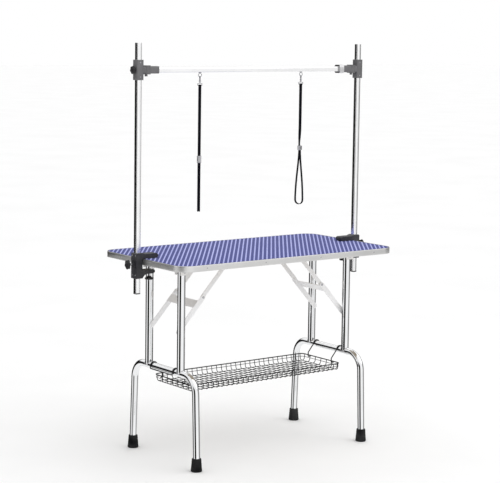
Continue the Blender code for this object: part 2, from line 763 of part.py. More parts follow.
def build_clamp(build, side, sign):
    name = f"{side}_clamp_body"
    half = CLAMP_WIDTH / 2
    body = build.node(name, prism(name, clamp_outline(sign), "Y", -half, half), "plastic")
    outer = POST_X + POST_SIZE / 2 + GAP + CLAMP_WALL
    boss = sorted((sign * (outer - 0.002), sign * (outer + 0.006)))
    build.add(body, cylinder(name, 0.012, (0, LOCK_Z), "X", *boss))
    x, room = sign * POST_X, POST_SIZE / 2 + GAP
    build.cut(body, box(name, (x - room, -room, CLAMP_BOTTOM - 0.01), (x + room, room, CLAMP_TOP + 0.01)))
    shaft = sorted((sign * (POST_X + 0.005), sign * (outer + 0.02)))
    build.cut(body, cylinder(name, SCREW_HOLE_R, (0, LOCK_Z), "X", *shaft))
    jaw = cylinder(name, SCREW_HOLE_R, (sign * SCREW_X, 0), "Z", CLAMP_BOTTOM - 0.01, LOWER_JAW_TOP + 0.01)
    build.cut(body, jaw)


def build_clamp_screw(build, side, sign):
    place = (sign * SCREW_X, 0, UNDERSIDE - GAP - PAD_HEIGHT)
    build.empty(f"{side}_clamp_pad", place)
    build.empty(f"{side}_clamp_screw", place, f"{side}_clamp_pad")
    profile = [(PAD_R - 0.002, 0, 0), (PAD_R, 0.002, 0), (PAD_R, PAD_HEIGHT, 0)]
    name = f"{side}_clamp_pad"
    build.node(name, turned(name, profile, place, (0, 0, 1)), "plastic", name)
    tip = (place[0], 0, place[2] - GAP)
    name = f"{side}_clamp_screw"
    reach = tip[2] - SCREW_KNOB_Z - 0.020
    build.node(name, knob(name, tip, (0, 0, -1), reach, 0.0195, 0.010), "plastic", name)


def build_post_lock(build, side, sign):
    name = f"{side}_post_lock"
    tip = (sign * (POST_X + POST_SIZE / 2 + GAP), 0, LOCK_Z)
    build.empty(name, tip)
    build.node(name, knob(name, tip, (sign, 0, 0), 0.026, 0.021, 0.009), "plastic", name)


def turned_z(vector, angle):
    """A flat vector turned about +Z."""
    x, y = vector
    return Vector((x * math.cos(angle) - y * math.sin(angle), x * math.sin(angle) + y * math.cos(angle), 0))


def loop_wire(name, points, radius, steps=6):
    """A closed loop of wire through points that don't repeat the first one."""
    path = [Vector(p) for p in points]
    count = len(path)
    normal = (path[1] - path[0]).cross(path[2] - path[1]).normalized()
    rings = []
    for i in range(count):
        before = (path[i] - path[i - 1]).normalized()
        after = (path[(i + 1) % count] - path[i]).normalized()
        inward = normal.cross((before + after).normalized())
        rings.append([path[i] + inward * u + normal * v for u, v in circle(radius, steps=steps)])
    return loft(name, rings, closed=True)


def build_eye(build, side):
    """A screw eye under the crossbar. The bottom of its ring is the axis that the noose swings on."""
    name = f"{side}_bar_eye"
    x = NOOSE_X[side]
    under = BAR_Z - POST_SIZE / 2 - GAP
    ring_z = under - 0.004 - EYE_R
    base = build.node(name, cylinder(name, 0.006, (x, 0), "Z", under - 0.004, under), "zinc", "bar")
    ring = [(x + u, 0, ring_z + v) for u, v in circle(EYE_R, steps=12)]
    build.add(base, loop_wire(name, ring, EYE_WIRE_R))
    return Vector((x, 0, ring_z - EYE_R))


def hook_loop(axis, half_width, drop):
    """A long link in the Y-Z plane whose top turns about the axis."""
    x, z = axis.x, axis.z
    top = arc((0, z), half_width, 0, 180, 6)
    bottom = arc((0, z - drop), half_width, 180, 360, 6)
    return [(x, y, h) for y, h in top + bottom]


def build_hook(build, side, axis):
    """Snap hook: a long link, a swivel barrel and a square ring for the strap."""
    name = f"{side}_loop_hook"
    wire = 0.0015
    link = loop_wire(name, hook_loop(axis, EYE_WIRE_R + GAP + wire, LINK_DROP), wire)
    hook = build.node(name, link, "zinc", f"{side}_loop")
    top = axis.z - BARREL_TOP
    foot = top - BARREL_LENGTH
    build.add(hook, cylinder(name, 0.0045, (axis.x, 0), "Z", foot, top, 16))
    across = turned_z((1, 0), -VIEW_TURN)
    half, rise = STRAP_WIDTH / 2 + 0.0025, 0.005
    center = Vector((axis.x, 0, axis.z - STRAP_TOP_DROP + rise))
    outline = rounded_rectangle(half, rise, 0.002, 2)
    ring = [center + across * u + Vector((0, 0, v)) for u, v in outline]
    build.add(hook, loop_wire(name, ring, wire))
    build.add(hook, cylinder(name, 0.0025, (axis.x, 0), "Z", center.z + rise - 0.001, foot + 0.001, 12))
    return center.z - rise


def noose_directions(side):
    """The flat direction that a noose opens in, and the direction of its strap's width."""
    turn = NOOSE_TURN[side] - VIEW_TURN
    return turned_z((1, 0), turn), turned_z((0, 1), turn)


def strap_stations(side, axis, ring_z):
    """Centre line and width direction of a noose strap, from the hook's ring to the strap's end."""
    facing = turned_z((1, 0), -VIEW_TURN)
    away = turned_z((0, 1), -VIEW_TURN)
    opening, width = noose_directions(side)
    twist = math.pi / 2 + NOOSE_TURN[side]
    wrap = 0.0015 + GAP + STRAP_THICKNESS / 2
    slide = axis.z - SLIDE_DROP[side]
    foot = slide - SLIDE_HEIGHT[side]
    low = axis.z - NOOSE_DROP[side]
    strand = 0.0023
    wide = NOOSE_HALF_WIDTH[side]
    path = [(away * wrap, ring_z - 0.016, facing)]
    for turn in (0, 30, 60, 90, 120, 150, 180):
        t = math.radians(turn)
        path.append((away * (wrap * math.cos(t)), ring_z + wrap * math.sin(t), facing))
    path.append((away * -wrap, ring_z - 0.012, facing))
    path.append((away * (-wrap * 0.3), ring_z - 0.030, facing))
    path.append((away * 0.0, slide + 0.075, facing))
    for k in range(1, 6):
        across = turned_z((1, 0), twist * k / 6 - VIEW_TURN)
        path.append((opening * (-strand * k / 6), slide + 0.075 - 0.010 * k, across))
    path.append((opening * -strand, slide + 0.015, width))
    path.append((opening * -strand, foot, width))
    outward = noose_side(wide, foot, low, strand)
    path += [(opening * -u, z, width) for u, z in outward]
    path.append((opening * 0.0, low, width))
    path += [(opening * u, z, width) for u, z in outward[::-1]]
    path.append((opening * strand, foot, width))
    path.append((opening * strand, slide - 0.004, width))
    base = Vector((axis.x, 0, 0))
    return [(base + flat + Vector((0, 0, z)), across) for flat, z, across in path]


def noose_side(wide, high, low, strand):
    """Half of the open noose as distances from its middle: a long taper, then a round bottom."""
    points = []
    bottom = low + wide
    for k in range(1, 7):
        share = k / 6
        swell = math.sin(share * math.pi / 2) ** 1.5
        points.append((strand + (wide - strand) * swell, high - (high - bottom) * share))
    for turn in (25, 50, 72):
        t = math.radians(turn)
        points.append((wide * math.cos(t), bottom - wide * math.sin(t)))
    return points


def strap_mesh(name, stations):
    rings = []
    count = len(stations)
    for i, (point, across) in enumerate(stations):
        before = stations[max(i - 1, 0)][0]
        after = stations[min(i + 1, count - 1)][0]
        tangent = (after - before).normalized()
        normal = tangent.cross(across).normalized()
        u, v = across * (STRAP_WIDTH / 2), normal * (STRAP_THICKNESS / 2)
        rings.append([point - u - v, point + u - v, point + u + v, point - u + v])
    return loft(name, rings)


def build_noose(build, side):
    axis = build_eye(build, side)
    build.empty(f"{side}_loop", axis, "bar")
    ring_z = build_hook(build, side, axis)
    name = f"{side}_loop_strap"
    build.node(name, strap_mesh(name, strap_stations(side, axis, ring_z)), "webbing", f"{side}_loop")
    name = f"{side}_loop_slide"
    opening, width = noose_directions(side)
    top = axis.z - SLIDE_DROP[side]
    outer = rounded_rectangle(0.0075, 0.0095, 0.003, 3)
    inner = rounded_rectangle(0.0042, 0.0070, 0.001, 3)
    bottom = top - SLIDE_HEIGHT[side]
    rings = []
    for outline, z in ((outer, bottom), (outer, top), (inner, top), (inner, bottom)):
        base = Vector((axis.x, 0, z))
        rings.append([base + opening * u + width * v for u, v in outline])
    build.node(name, loft(name, rings, closed=True), "zinc", f"{side}_loop")


def main():
    clear_scene()
    build = Build()
    build_top(build)
    for side, sign in SIDES.items():
        build_leg_channel(build, side, sign)
        build_leg(build, side, sign)
        build_braces(build, side, sign)
        build_clamp(build, side, sign)
        build_clamp_screw(build, side, sign)
        build_post_lock(build, side, sign)
        build_post(build, side, sign)
    build_basket(build)
    build_bar(build)
    for side in SIDES:
        build_noose(build, side)


main()
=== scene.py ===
import bmesh
import bpy
import math
from mathutils import Matrix, Vector


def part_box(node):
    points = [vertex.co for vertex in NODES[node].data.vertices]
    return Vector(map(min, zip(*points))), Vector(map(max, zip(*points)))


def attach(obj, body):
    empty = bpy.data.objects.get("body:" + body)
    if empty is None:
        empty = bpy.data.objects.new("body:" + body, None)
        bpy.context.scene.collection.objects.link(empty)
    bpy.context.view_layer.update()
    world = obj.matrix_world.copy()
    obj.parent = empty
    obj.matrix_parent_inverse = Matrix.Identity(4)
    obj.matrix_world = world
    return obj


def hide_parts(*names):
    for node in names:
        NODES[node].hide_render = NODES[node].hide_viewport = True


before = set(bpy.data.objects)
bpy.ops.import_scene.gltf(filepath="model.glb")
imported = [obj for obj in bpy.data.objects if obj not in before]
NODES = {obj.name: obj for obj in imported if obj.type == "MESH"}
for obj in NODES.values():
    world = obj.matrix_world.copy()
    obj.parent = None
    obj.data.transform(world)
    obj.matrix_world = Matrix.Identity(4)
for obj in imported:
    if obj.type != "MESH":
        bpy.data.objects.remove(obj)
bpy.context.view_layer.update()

SIDES = {"left": -1, "right": 1}
ENDS = {"front": -1, "rear": 1}

# ---------------------------------------------------------------- places and sizes, in metres
# Read from the frame.
MAT_LOW, MAT_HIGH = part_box("non_slip_mat")
BAND_LOW, BAND_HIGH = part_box("edge_band")
BAR_LOW, BAR_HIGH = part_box("crossbar")
UPRIGHT_LOW, UPRIGHT_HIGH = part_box("right_upright_front")
TOP_Z = MAT_HIGH.z
UNDERSIDE = BAND_LOW.z
BAR_Z = (BAR_LOW.z + BAR_HIGH.z) / 2
LEG_X = (UPRIGHT_LOW.x + UPRIGHT_HIGH.x) / 2
UPRIGHT_TOP = UPRIGHT_HIGH.z
FOOT_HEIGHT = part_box("right_foot_front")[1].z

# Repeated from the part's source.
GAP = 0.0003
CORNER_R = 0.065
BAND_WALL = 0.003
MAT_R = CORNER_R - BAND_WALL - GAP
UPRIGHT_Y = 0.120
UPRIGHT_R = 0.017
ARCH_R = 0.015
ARCH_Z = 0.393
ARCH_BEND = 0.075
LEG_TOP_Y = 0.228
FOOT_Y = 0.242
HINGE_Z = 0.828
BRACE_REACH = 0.240
BRACE_DROP = 0.260
POST_X = 0.600
POST_SIZE = 0.022
POST_FACE_X = POST_X + POST_SIZE / 2 + GAP
LOCK_Z = 0.858
SCREW_X = 0.538
SCREW_KNOB_Z = 0.782
PAD_HEIGHT = 0.006
HANGER_R = 0.0025
HANGER_Y = 0.083
HANGER_REACH = 0.0179
NOOSE_X = {"left": -0.286, "right": 0.267}
VIEW_TURN = math.radians(35)
STRAP_WIDTH = 0.013
STRAP_THICKNESS = 0.003
EYE_R = 0.008
EYE_NECK = 0.004
WIRE_R = 0.0015
STRAP_WRAP = WIRE_R + GAP + STRAP_THICKNESS / 2
STRAND = 0.0023
LINK_DROP = 0.010
BARREL_TOP = 0.0125
BARREL_LENGTH = 0.010
STRAP_TOP_DROP = 0.037
SLIDE_DROP = {"left": 0.337, "right": 0.311}
SLIDE_HEIGHT = {"left": 0.030, "right": 0.020}
NOOSE_DROP = {"left": 0.576, "right": 0.574}
NOOSE_HALF_WIDTH = {"left": 0.007, "right": 0.019}
NOOSE_TURN = {"left": math.radians(-90), "right": math.radians(-35)}

# Only in the looks. RIB_FADE is where a rib's paint ends, as a share of the pitch from its middle.
BAND_FACE = 0.0008
SCREW_Z = 0.8675
RIB_TURN = math.radians(52)
RIB_PITCH = 0.018
RIB_HALF = 0.0029
RIB_RISE = 0.0004
RIB_FADE = (0.185, 0.155)
MAT_MARGIN = 0.006
RIM_R = 0.0025
RIM_CORNER = 0.022
CROSS_WIRES = 31
LONG_WIRES = 7
FOLD = 0.012
THREAD_R = 0.0040
THREAD_PITCH = 0.00125


# ---------------------------------------------------------------- camera, world, lights
def make_camera():
    data = bpy.data.cameras.new("camera")
    data.sensor_width = 36
    data.lens = 117.83
    data.shift_y = -0.08
    camera = bpy.data.objects.new("camera", data)
    bpy.context.scene.collection.objects.link(camera)
    yaw, pitch, roll = math.radians(37.31), math.radians(6.07), math.radians(0.81)
    forward = Vector((math.sin(yaw) * math.cos(pitch), math.cos(yaw) * math.cos(pitch), -math.sin(pitch)))
    right = Vector((math.cos(yaw), -math.sin(yaw), 0))
    up = right.cross(forward)
    side = right * math.cos(roll) + up * math.sin(roll)
    top = up * math.cos(roll) - right * math.sin(roll)
    turn = Matrix((side, top, -forward)).transposed()
    place = (-4.347, -5.693, 1.851)
    camera.matrix_world = Matrix.Translation(place) @ turn.to_4x4()
    bpy.context.scene.camera = camera
    bpy.context.scene.view_settings.view_transform = "Standard"


def node(tree, kind, links=None, **values):
    """A shader node. links holds its inputs by name or number; values are its other settings."""
    made = tree.nodes.new(kind)
    for key, value in values.items():
        setattr(made, key, value)
    for key, value in (links or {}).items():
        socket = made.inputs[key]
        if isinstance(value, bpy.types.NodeSocket):
            tree.links.new(value, socket)
        else:
            socket.default_value = value
    return made


def math_node(tree, operation, *values):
    return node(tree, "ShaderNodeMath", dict(enumerate(values)), operation=operation).outputs[0]


def blend(tree, share, under, over):
    """The colour between two others, where a share of 1 gives the second."""
    made = node(tree, "ShaderNodeMix", {0: share, 6: under, 7: over}, data_type="RGBA")
    return made.outputs[2]


def ramp(tree, factor, stops):
    """A colour ramp through (place, grey level or colour) stops."""
    made = node(tree, "ShaderNodeValToRGB", {"Fac": factor})
    points = made.color_ramp.elements
    while len(points) > 1:
        points.remove(points[-1])
    points[0].position = stops[0][0]
    points[0].color = grey(stops[0][1])
    for place, value in stops[1:]:
        points.new(place).color = grey(value)
    return made.outputs["Color"]


def grey(value):
    return (value, value, value, 1) if isinstance(value, (int, float)) else (*value, 1)


def make_world():
    """White to the camera. What shiny surfaces reflect has dark flags to both sides, as in a studio."""
    world = bpy.data.worlds.new("studio")
    bpy.context.scene.world = world
    world.use_nodes = True
    tree = world.node_tree
    tree.nodes.clear()
    direction = node(tree, "ShaderNodeTexCoord").outputs["Generated"]
    parts = node(tree, "ShaderNodeSeparateXYZ", {0: direction})
    turn = math_node(tree, "ARCTAN2", parts.outputs["Y"], parts.outputs["X"])
    share = math_node(tree, "DIVIDE", turn, 2 * math.pi)
    share = math_node(tree, "FRACT", math_node(tree, "ADD", share, 1.0))
    degrees = [
        (0, 0.30), (30, 0.18), (50, 0.50), (58, 0.30), (66, 0.01), (141, 0.01),
        (147, 1.0), (172, 1.0), (180, 0.3), (184, 0.0), (225, 0.0), (230, 1.0),
        (300, 1.05), (314, 0.9), (320, 0.22), (360, 0.30),
    ]
    around = ramp(tree, share, [(d / 360, v) for d, v in degrees])
    height = math_node(tree, "ABSOLUTE", parts.outputs["Z"])
    limits = {"Value": height, "From Min": 0.24, "From Max": 0.42}
    upper = node(tree, "ShaderNodeMapRange", limits).outputs[0]
    mirrored = blend(tree, upper, around, grey(1.0))
    ray = node(tree, "ShaderNodeLightPath")
    unseen = blend(tree, ray.outputs["Is Glossy Ray"], grey(0.97), mirrored)
    final = blend(tree, ray.outputs["Is Camera Ray"], unseen, grey(1.0))
    background = node(tree, "ShaderNodeBackground", {"Color": final, "Strength": 1.0})
    node(tree, "ShaderNodeOutputWorld", {"Surface": background.outputs[0]})


def add_area_light(name, place, target, size, power):
    data = bpy.data.lights.new(name, "AREA")
    data.shape = "DISK"
    data.size = size
    data.energy = power
    light = bpy.data.objects.new(name, data)
    light.location = place
    light.rotation_euler = (Vector(target) - Vector(place)).to_track_quat("-Z", "Y").to_euler()
    bpy.context.scene.collection.objects.link(light)


def add_sun(direction, strength, spread):
    """A broad, soft sun, so that the whole floor is lit alike."""
    data = bpy.data.lights.new("sky", "SUN")
    data.energy = strength
    data.angle = math.radians(spread)
    light = bpy.data.objects.new("sky", data)
    light.rotation_euler = Vector(direction).to_track_quat("-Z", "Y").to_euler()
    bpy.context.scene.collection.objects.link(light)


def make_floor():
    """A wide pale floor just under the feet, left out of reflections."""
    mesh = bpy.data.meshes.new("floor")
    reach, z = 60.0, -0.0005
    corners = [(-reach, -reach, z), (reach, -reach, z), (reach, reach, z), (-reach, reach, z)]
    mesh.from_pydata(corners, [], [(0, 1, 2, 3)])
    floor = bpy.data.objects.new("floor", mesh)
    bpy.context.scene.collection.objects.link(floor)
    material = bpy.data.materials.new("floor")
    material.use_nodes = True
    tree = material.node_tree
    shader = tree.nodes["Principled BSDF"]
    place = node(tree, "ShaderNodeTexCoord").outputs["Object"]
    cloud = node(tree, "ShaderNodeTexNoise", {"Vector": place, "Scale": 1.3, "Detail": 3.0}).outputs["Fac"]
    tree.links.new(ramp(tree, cloud, [(0.3, 0.90), (0.7, 0.93)]), shader.inputs["Base Color"])
    shader.inputs["Roughness"].default_value = 0.7
    shader.inputs["Specular IOR Level"].default_value = 0.2
    mesh.materials.append(material)
    floor.visible_glossy = False


# ---------------------------------------------------------------- materials
def material(name, roughness, metallic=0.0, **sockets):
    """A material, its node tree, its shader and the object's own coordinates."""
    made = bpy.data.materials.new(name)
    made.use_nodes = True
    tree = made.node_tree
    shader = tree.nodes["Principled BSDF"]
    shader.inputs["Metallic"].default_value = metallic
    shader.inputs["Roughness"].default_value = roughness
    for key, value in sockets.items():
        shader.inputs[key.replace("_", " ")].default_value = value
    place = node(tree, "ShaderNodeTexCoord").outputs["Object"]
    return made, tree, shader, place


def scaled(tree, place, scale):
    return node(tree, "ShaderNodeMapping", {"Vector": place, "Scale": scale}).outputs[0]


def noise_at(tree, place, scale, detail=3.0, roughness=0.55):
    settings = {"Vector": place, "Scale": scale, "Detail": detail, "Roughness": roughness}
    return node(tree, "ShaderNodeTexNoise", settings).outputs["Fac"]


def bump(tree, shader, height, strength, distance, under=None):
    values = {"Height": height, "Strength": strength, "Distance": distance}
    if under is not None:
        values["Normal"] = under
    made = node(tree, "ShaderNodeBump", values)
    tree.links.new(made.outputs[0], shader.inputs["Normal"])
    return made.outputs[0]


def metal(name, color, roughness, streaks, brushed_scale):
    """Metal with a soft cloudiness, fine scratches along the given scale and small roughness changes."""
    made, tree, shader, place = material(name, roughness, 1.0)
    cloud = noise_at(tree, place, 9.0, 4.0)
    fine = noise_at(tree, scaled(tree, place, brushed_scale), 60.0, 4.0)
    dark = tuple(c * 0.93 for c in color)
    tree.links.new(ramp(tree, cloud, [(0.30, dark), (0.60, color)]), shader.inputs["Base Color"])
    low, high = roughness * 0.75, roughness * 1.35 + 0.01
    tree.links.new(ramp(tree, fine, [(0.35, low), (0.70, high)]), shader.inputs["Roughness"])
    bump(tree, shader, fine, streaks, 0.0002)
    return made


def painted(name, color, roughness, grain, depth, spread=0.06, shine=0.5):
    """Powder coat or moulded plastic: an orange-peel grain, faint clouding and paler worn patches."""
    made, tree, shader, place = material(name, roughness, Specular_IOR_Level=shine)
    cloud = noise_at(tree, place, 14.0, 4.0)
    peel = noise_at(tree, place, grain, 2.0)
    pale = tuple(min(c * (1 + spread) + spread * 0.12, 1.0) for c in color)
    deep = tuple(c * (1 - spread) for c in color)
    tree.links.new(ramp(tree, cloud, [(0.30, deep), (0.68, pale)]), shader.inputs["Base Color"])
    rough = [(0.3, roughness * 0.85), (0.7, min(roughness * 1.15, 1))]
    tree.links.new(ramp(tree, peel, rough), shader.inputs["Roughness"])
    bump(tree, shader, peel, 0.35, depth)
    return made


def vector_node(tree, operation, *values):
    return node(tree, "ShaderNodeVectorMath", dict(enumerate(values)), operation=operation).outputs


def edge_distance(tree, place, half_x, half_y, radius):
    """How far a point lies inside a rounded rectangle's outline, right where it is near that outline."""
    flat = vector_node(tree, "ABSOLUTE", place)[0]
    inner = (half_x - radius, half_y - radius, 10.0)
    past = vector_node(tree, "SUBTRACT", flat, inner)[0]
    past = vector_node(tree, "MAXIMUM", past, (0, 0, 0))[0]
    length = vector_node(tree, "LENGTH", past)["Value"]
    return math_node(tree, "SUBTRACT", radius, length)


def slanted(tree, place, degrees):
    turn = tuple(math.radians(d) for d in degrees)
    return node(tree, "ShaderNodeMapping", {"Vector": place, "Rotation": turn}).outputs[0]


def wave_at(tree, place, scale, distortion, detail, **values):
    settings = {"Vector": place, "Scale": scale, "Distortion": distortion, "Detail": detail}
    return node(tree, "ShaderNodeTexWave", settings, **values).outputs["Fac"]


def mat_material():
    """Vinyl: pale slanting ribs on a blue-violet ground, with a fine grain and a dark border."""
    made, tree, shader, place = material("ribbed_mat", 0.8, Specular_IOR_Level=0.05)
    parts = node(tree, "ShaderNodeSeparateXYZ", {0: place})
    along_x = math_node(tree, "MULTIPLY", parts.outputs["X"], math.sin(RIB_TURN) / RIB_PITCH)
    along_y = math_node(tree, "MULTIPLY", parts.outputs["Y"], math.cos(RIB_TURN) / RIB_PITCH)
    wave = math_node(tree, "PINGPONG", math_node(tree, "SUBTRACT", along_x, along_y), 0.5)
    fade = {"Value": wave, "From Min": RIB_FADE[0], "From Max": RIB_FADE[1]}
    rib = node(tree, "ShaderNodeMapRange", fade).outputs[0]
    grain = wave_at(tree, slanted(tree, place, (0, 0, 38)), 62.0, 1.2, 1.0)
    fleck = noise_at(tree, place, 420.0, 3.0)
    cloud = noise_at(tree, place, 5.0, 4.0)
    ground = ramp(tree, grain, [(0.2, (0.070, 0.078, 0.22)), (0.8, (0.120, 0.131, 0.33))])
    dots = ramp(tree, fleck, [(0.35, (0.062, 0.070, 0.20)), (0.65, (0.130, 0.142, 0.35))])
    speck = blend(tree, 0.35, ground, dots)
    pale = ramp(tree, cloud, [(0.3, (0.40, 0.42, 0.75)), (0.7, (0.47, 0.49, 0.83))])
    striped = blend(tree, rib, speck, pale)
    inside = edge_distance(tree, place, MAT_HIGH.x, MAT_HIGH.y, MAT_R)
    rim = {"Value": inside, "From Min": 0.0035, "From Max": 0.0075}
    border = node(tree, "ShaderNodeMapRange", rim).outputs[0]
    final = blend(tree, border, (0.045, 0.05, 0.11, 1), striped)
    tree.links.new(final, shader.inputs["Base Color"])
    tree.links.new(ramp(tree, fleck, [(0.3, 0.7), (0.7, 0.9)]), shader.inputs["Roughness"])
    height = math_node(tree, "ADD", math_node(tree, "MULTIPLY", grain, 0.6), fleck)
    bump(tree, shader, height, 0.5, 0.00035)
    return made


def webbing_material():
    """Black nylon webbing: rows across it with a diagonal weave between."""
    made, tree, shader, place = material("woven_nylon", 0.72, Sheen_Weight=0.04, Specular_IOR_Level=0.08)
    rows = wave_at(tree, place, 190.0, 0.8, 1.0, bands_direction="Z")
    slant = slanted(tree, place, (45, 30, 0))
    twill = node(tree, "ShaderNodeTexWave", {"Vector": slant, "Scale": 260.0, "Distortion": 0.5})
    weave = math_node(tree, "MULTIPLY", rows, twill.outputs["Fac"])
    black = ramp(tree, weave, [(0.05, (0.0010, 0.0010, 0.003)), (0.7, (0.006, 0.006, 0.013))])
    tree.links.new(black, shader.inputs["Base Color"])
    tree.links.new(ramp(tree, rows, [(0.0, 0.85), (1.0, 0.62)]), shader.inputs["Roughness"])
    bump(tree, shader, weave, 0.8, 0.0006)
    return made


def board_material():
    """Raw board, seen from below: long fibres with some cloudiness."""
    made, tree, shader, place = material("board_laminate", 0.55)
    fibre = noise_at(tree, scaled(tree, place, (1.0, 7.0, 1.0)), 40.0, 5.0, 0.65)
    cloud = noise_at(tree, place, 4.0, 3.0)
    parts = math_node(tree, "MULTIPLY", fibre, 0.7), math_node(tree, "MULTIPLY", cloud, 0.3)
    tan = ramp(tree, math_node(tree, "ADD", *parts), [(0.35, (0.30, 0.25, 0.19)), (0.65, (0.46, 0.40, 0.31))])
    tree.links.new(tan, shader.inputs["Base Color"])
    tree.links.new(ramp(tree, fibre, [(0.3, 0.5), (0.7, 0.68)]), shader.inputs["Roughness"])
    bump(tree, shader, fibre, 0.3, 0.0004)
    return made


def make_materials():
    return {
        "chrome": metal("polished_chrome", (0.88, 0.885, 0.895), 0.035, 0.02, (1, 1, 0.15)),
        "square_chrome": metal("satin_chrome", (0.93, 0.93, 0.935), 0.16, 0.06, (1, 1, 0.1)),
        "bar_chrome": metal("satin_bar_chrome", (0.93, 0.93, 0.935), 0.16, 0.06, (0.1, 1, 1)),
        "aluminium": metal("satin_aluminium", (0.72, 0.717, 0.71), 0.42, 0.12, (0.08, 0.08, 1)),
        "collar": metal("collar_aluminium", (0.66, 0.66, 0.67), 0.28, 0.15, (1, 0.1, 0.1)),
        "zinc": metal("zinc_plate", (0.50, 0.50, 0.52), 0.24, 0.10, (1, 1, 1)),
        "white_steel": painted("white_powder_coat", (0.86, 0.86, 0.87), 0.34, 900.0, 0.00012, 0.03),
        "black_plastic": painted("black_moulding", (0.010, 0.010, 0.012), 0.42, 1400.0, 0.00018, 0.25, 0.18),
        "grey_plastic": painted("grey_moulding", (0.115, 0.113, 0.118), 0.45, 1400.0, 0.00018, 0.12),
        "jaw_plastic": painted("jaw_moulding", (0.022, 0.022, 0.026), 0.40, 1400.0, 0.00018, 0.2, 0.25),
        "rubber": painted("foot_rubber", (0.006, 0.006, 0.007), 0.62, 700.0, 0.00025, 0.25, 0.05),
        "black_wire": painted("dipped_wire", (0.006, 0.006, 0.007), 0.34, 500.0, 0.00015, 0.2, 0.2),
        "mat": mat_material(),
        "webbing": webbing_material(),
        "board": board_material(),
    }


# ---------------------------------------------------------------- mesh helpers
def add_piece(name, mesh, body, finish, bevel=0.0, sharp=35):
    """Links a mesh as a piece that rides on a body, with its finish, smooth shading and a soft bevel."""
    for polygon in mesh.polygons:
        polygon.use_smooth = True
    mesh.set_sharp_from_angle(angle=math.radians(sharp))
    mesh.materials.clear()
    mesh.materials.append(FINISH[finish])
    piece = bpy.data.objects.new(name, mesh)
    bpy.context.scene.collection.objects.link(piece)
    if bevel:
        edges = piece.modifiers.new("edges", "BEVEL")
        edges.width = bevel
        edges.segments = 2
        edges.limit_method = "ANGLE"
        edges.angle_limit = math.radians(sharp)
        edges.harden_normals = True
    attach(piece, body)
    return piece


def copy_of(name):
    """A welded copy of a CAD node's mesh, with its flat faces joined up."""
    shape = bmesh.new()
    shape.from_mesh(NODES[name].data)
    bmesh.ops.remove_doubles(shape, verts=shape.verts, dist=2e-6)
    bmesh.ops.dissolve_limit(shape, angle_limit=math.radians(0.4), verts=shape.verts, edges=shape.edges)
    mesh = bpy.data.meshes.new(name + "_finish")
    shape.to_mesh(mesh)
    shape.free()
    for key in ("custom_normal", "sharp_edge", "sharp_face"):
        if key in mesh.attributes:
            mesh.attributes.remove(mesh.attributes[key])
    return mesh


def refine(name, body, slot, finish=None, bevel=0.0006, sharp=35):
    """A CAD node's own shape with its edges softened and a finish put on."""
    piece = add_piece(name + "_finish", copy_of(name), body, finish or slot, bevel, sharp)
    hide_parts(name)
    return piece


def mesh_from(name, points, faces):
    """A mesh with its faces turned outward."""
    mesh = bpy.data.meshes.new(name)
    mesh.from_pydata([tuple(p) for p in points], [], faces)
    mesh.validate()
    shape = bmesh.new()
    shape.from_mesh(mesh)
    bmesh.ops.recalc_face_normals(shape, faces=shape.faces)
    shape.to_mesh(mesh)
    shape.free()
    return mesh


def join(name, meshes):
    """One mesh out of several, which are then dropped."""
    shape = bmesh.new()
    for mesh in meshes:
        shape.from_mesh(mesh)
    result = bpy.data.meshes.new(name)
    shape.to_mesh(result)
    shape.free()
    for mesh in meshes:
        bpy.data.meshes.remove(mesh)
    return result


def bridge(rings, closed=False, caps=True):
    """Points and faces of a surface through rings of equal count."""
    count = len(rings[0])
    points = [p for ring in rings for p in ring]
    faces = []
    for i in range(len(rings) if closed else len(rings) - 1):
        j = (i + 1) % len(rings)
        for k in range(count):
            m = (k + 1) % count
            faces.append((i * count + k, i * count + m, j * count + m, j * count + k))
    if caps and not closed:
        faces.append(tuple(range(count)))
        faces.append(tuple(range((len(rings) - 1) * count, len(rings) * count))[::-1])
    return points, faces


def tube(name, path, radius, steps=16, closed=False, first_side=(0, 0, 1), caps=True):
    """A round bar along a path. radius is a number or one for each point."""
    points = [Vector(p) for p in path]
    count = len(points)
    side = Vector(first_side)
    rings = []
    for i, point in enumerate(points):
        before = points[i - 1] if i or closed else point
        after = points[(i + 1) % count] if i < count - 1 or closed else point
        tangent = (after - before).normalized()
        side = side - tangent * side.dot(tangent)
        if side.length < 1e-4:
            side = tangent.orthogonal()
        side.normalize()
        other = tangent.cross(side)
        r = radius[i] if isinstance(radius, (list, tuple)) else radius
        turns = [2 * math.pi * k / steps for k in range(steps)]
        rings.append([point + side * (r * math.cos(t)) + other * (r * math.sin(t)) for t in turns])
    return mesh_from(name, *bridge(rings, closed, caps))


def lathe(name, profile, place, direction=(0, 0, 1), steps=64, lobes=0, caps=True):
    """A turned shape. profile holds (radius, height) or (radius, height, lobe depth)."""
    normal = Vector(direction).normalized()
    side = normal.orthogonal().normalized()
    other = normal.cross(side)
    rings = []
    for row in profile:
        radius, height = row[0], row[1]
        depth = row[2] if len(row) > 2 else 0.0
        ring = []
        for k in range(steps):
            turn = 2 * math.pi * (k + 0.5) / steps
            r = radius - depth * (0.5 - 0.5 * math.cos(lobes * turn))
            out = side * (r * math.cos(turn)) + other * (r * math.sin(turn))
            ring.append(Vector(place) + normal * height + out)
        rings.append(ring)
    return mesh_from(name, *bridge(rings, caps=caps))


def rounded_profile(points, radius, steps=4):
    """Rounds the inner corners of an open (radius, height) profile."""
    result = [points[0]]
    for i in range(1, len(points) - 1):
        a, b, c = (Vector(p[:2]) for p in points[i - 1:i + 2])
        near = min(radius, (a - b).length * 0.45, (c - b).length * 0.45)
        start = b + (a - b).normalized() * near
        end = b + (c - b).normalized() * near
        depth = points[i][2] if len(points[i]) > 2 else 0.0
        for k in range(steps + 1):
            t = k / steps
            p = start * (1 - t) ** 2 + b * (2 * t * (1 - t)) + end * t ** 2
            result.append((p.x, p.y, depth))
    return result + [points[-1]]


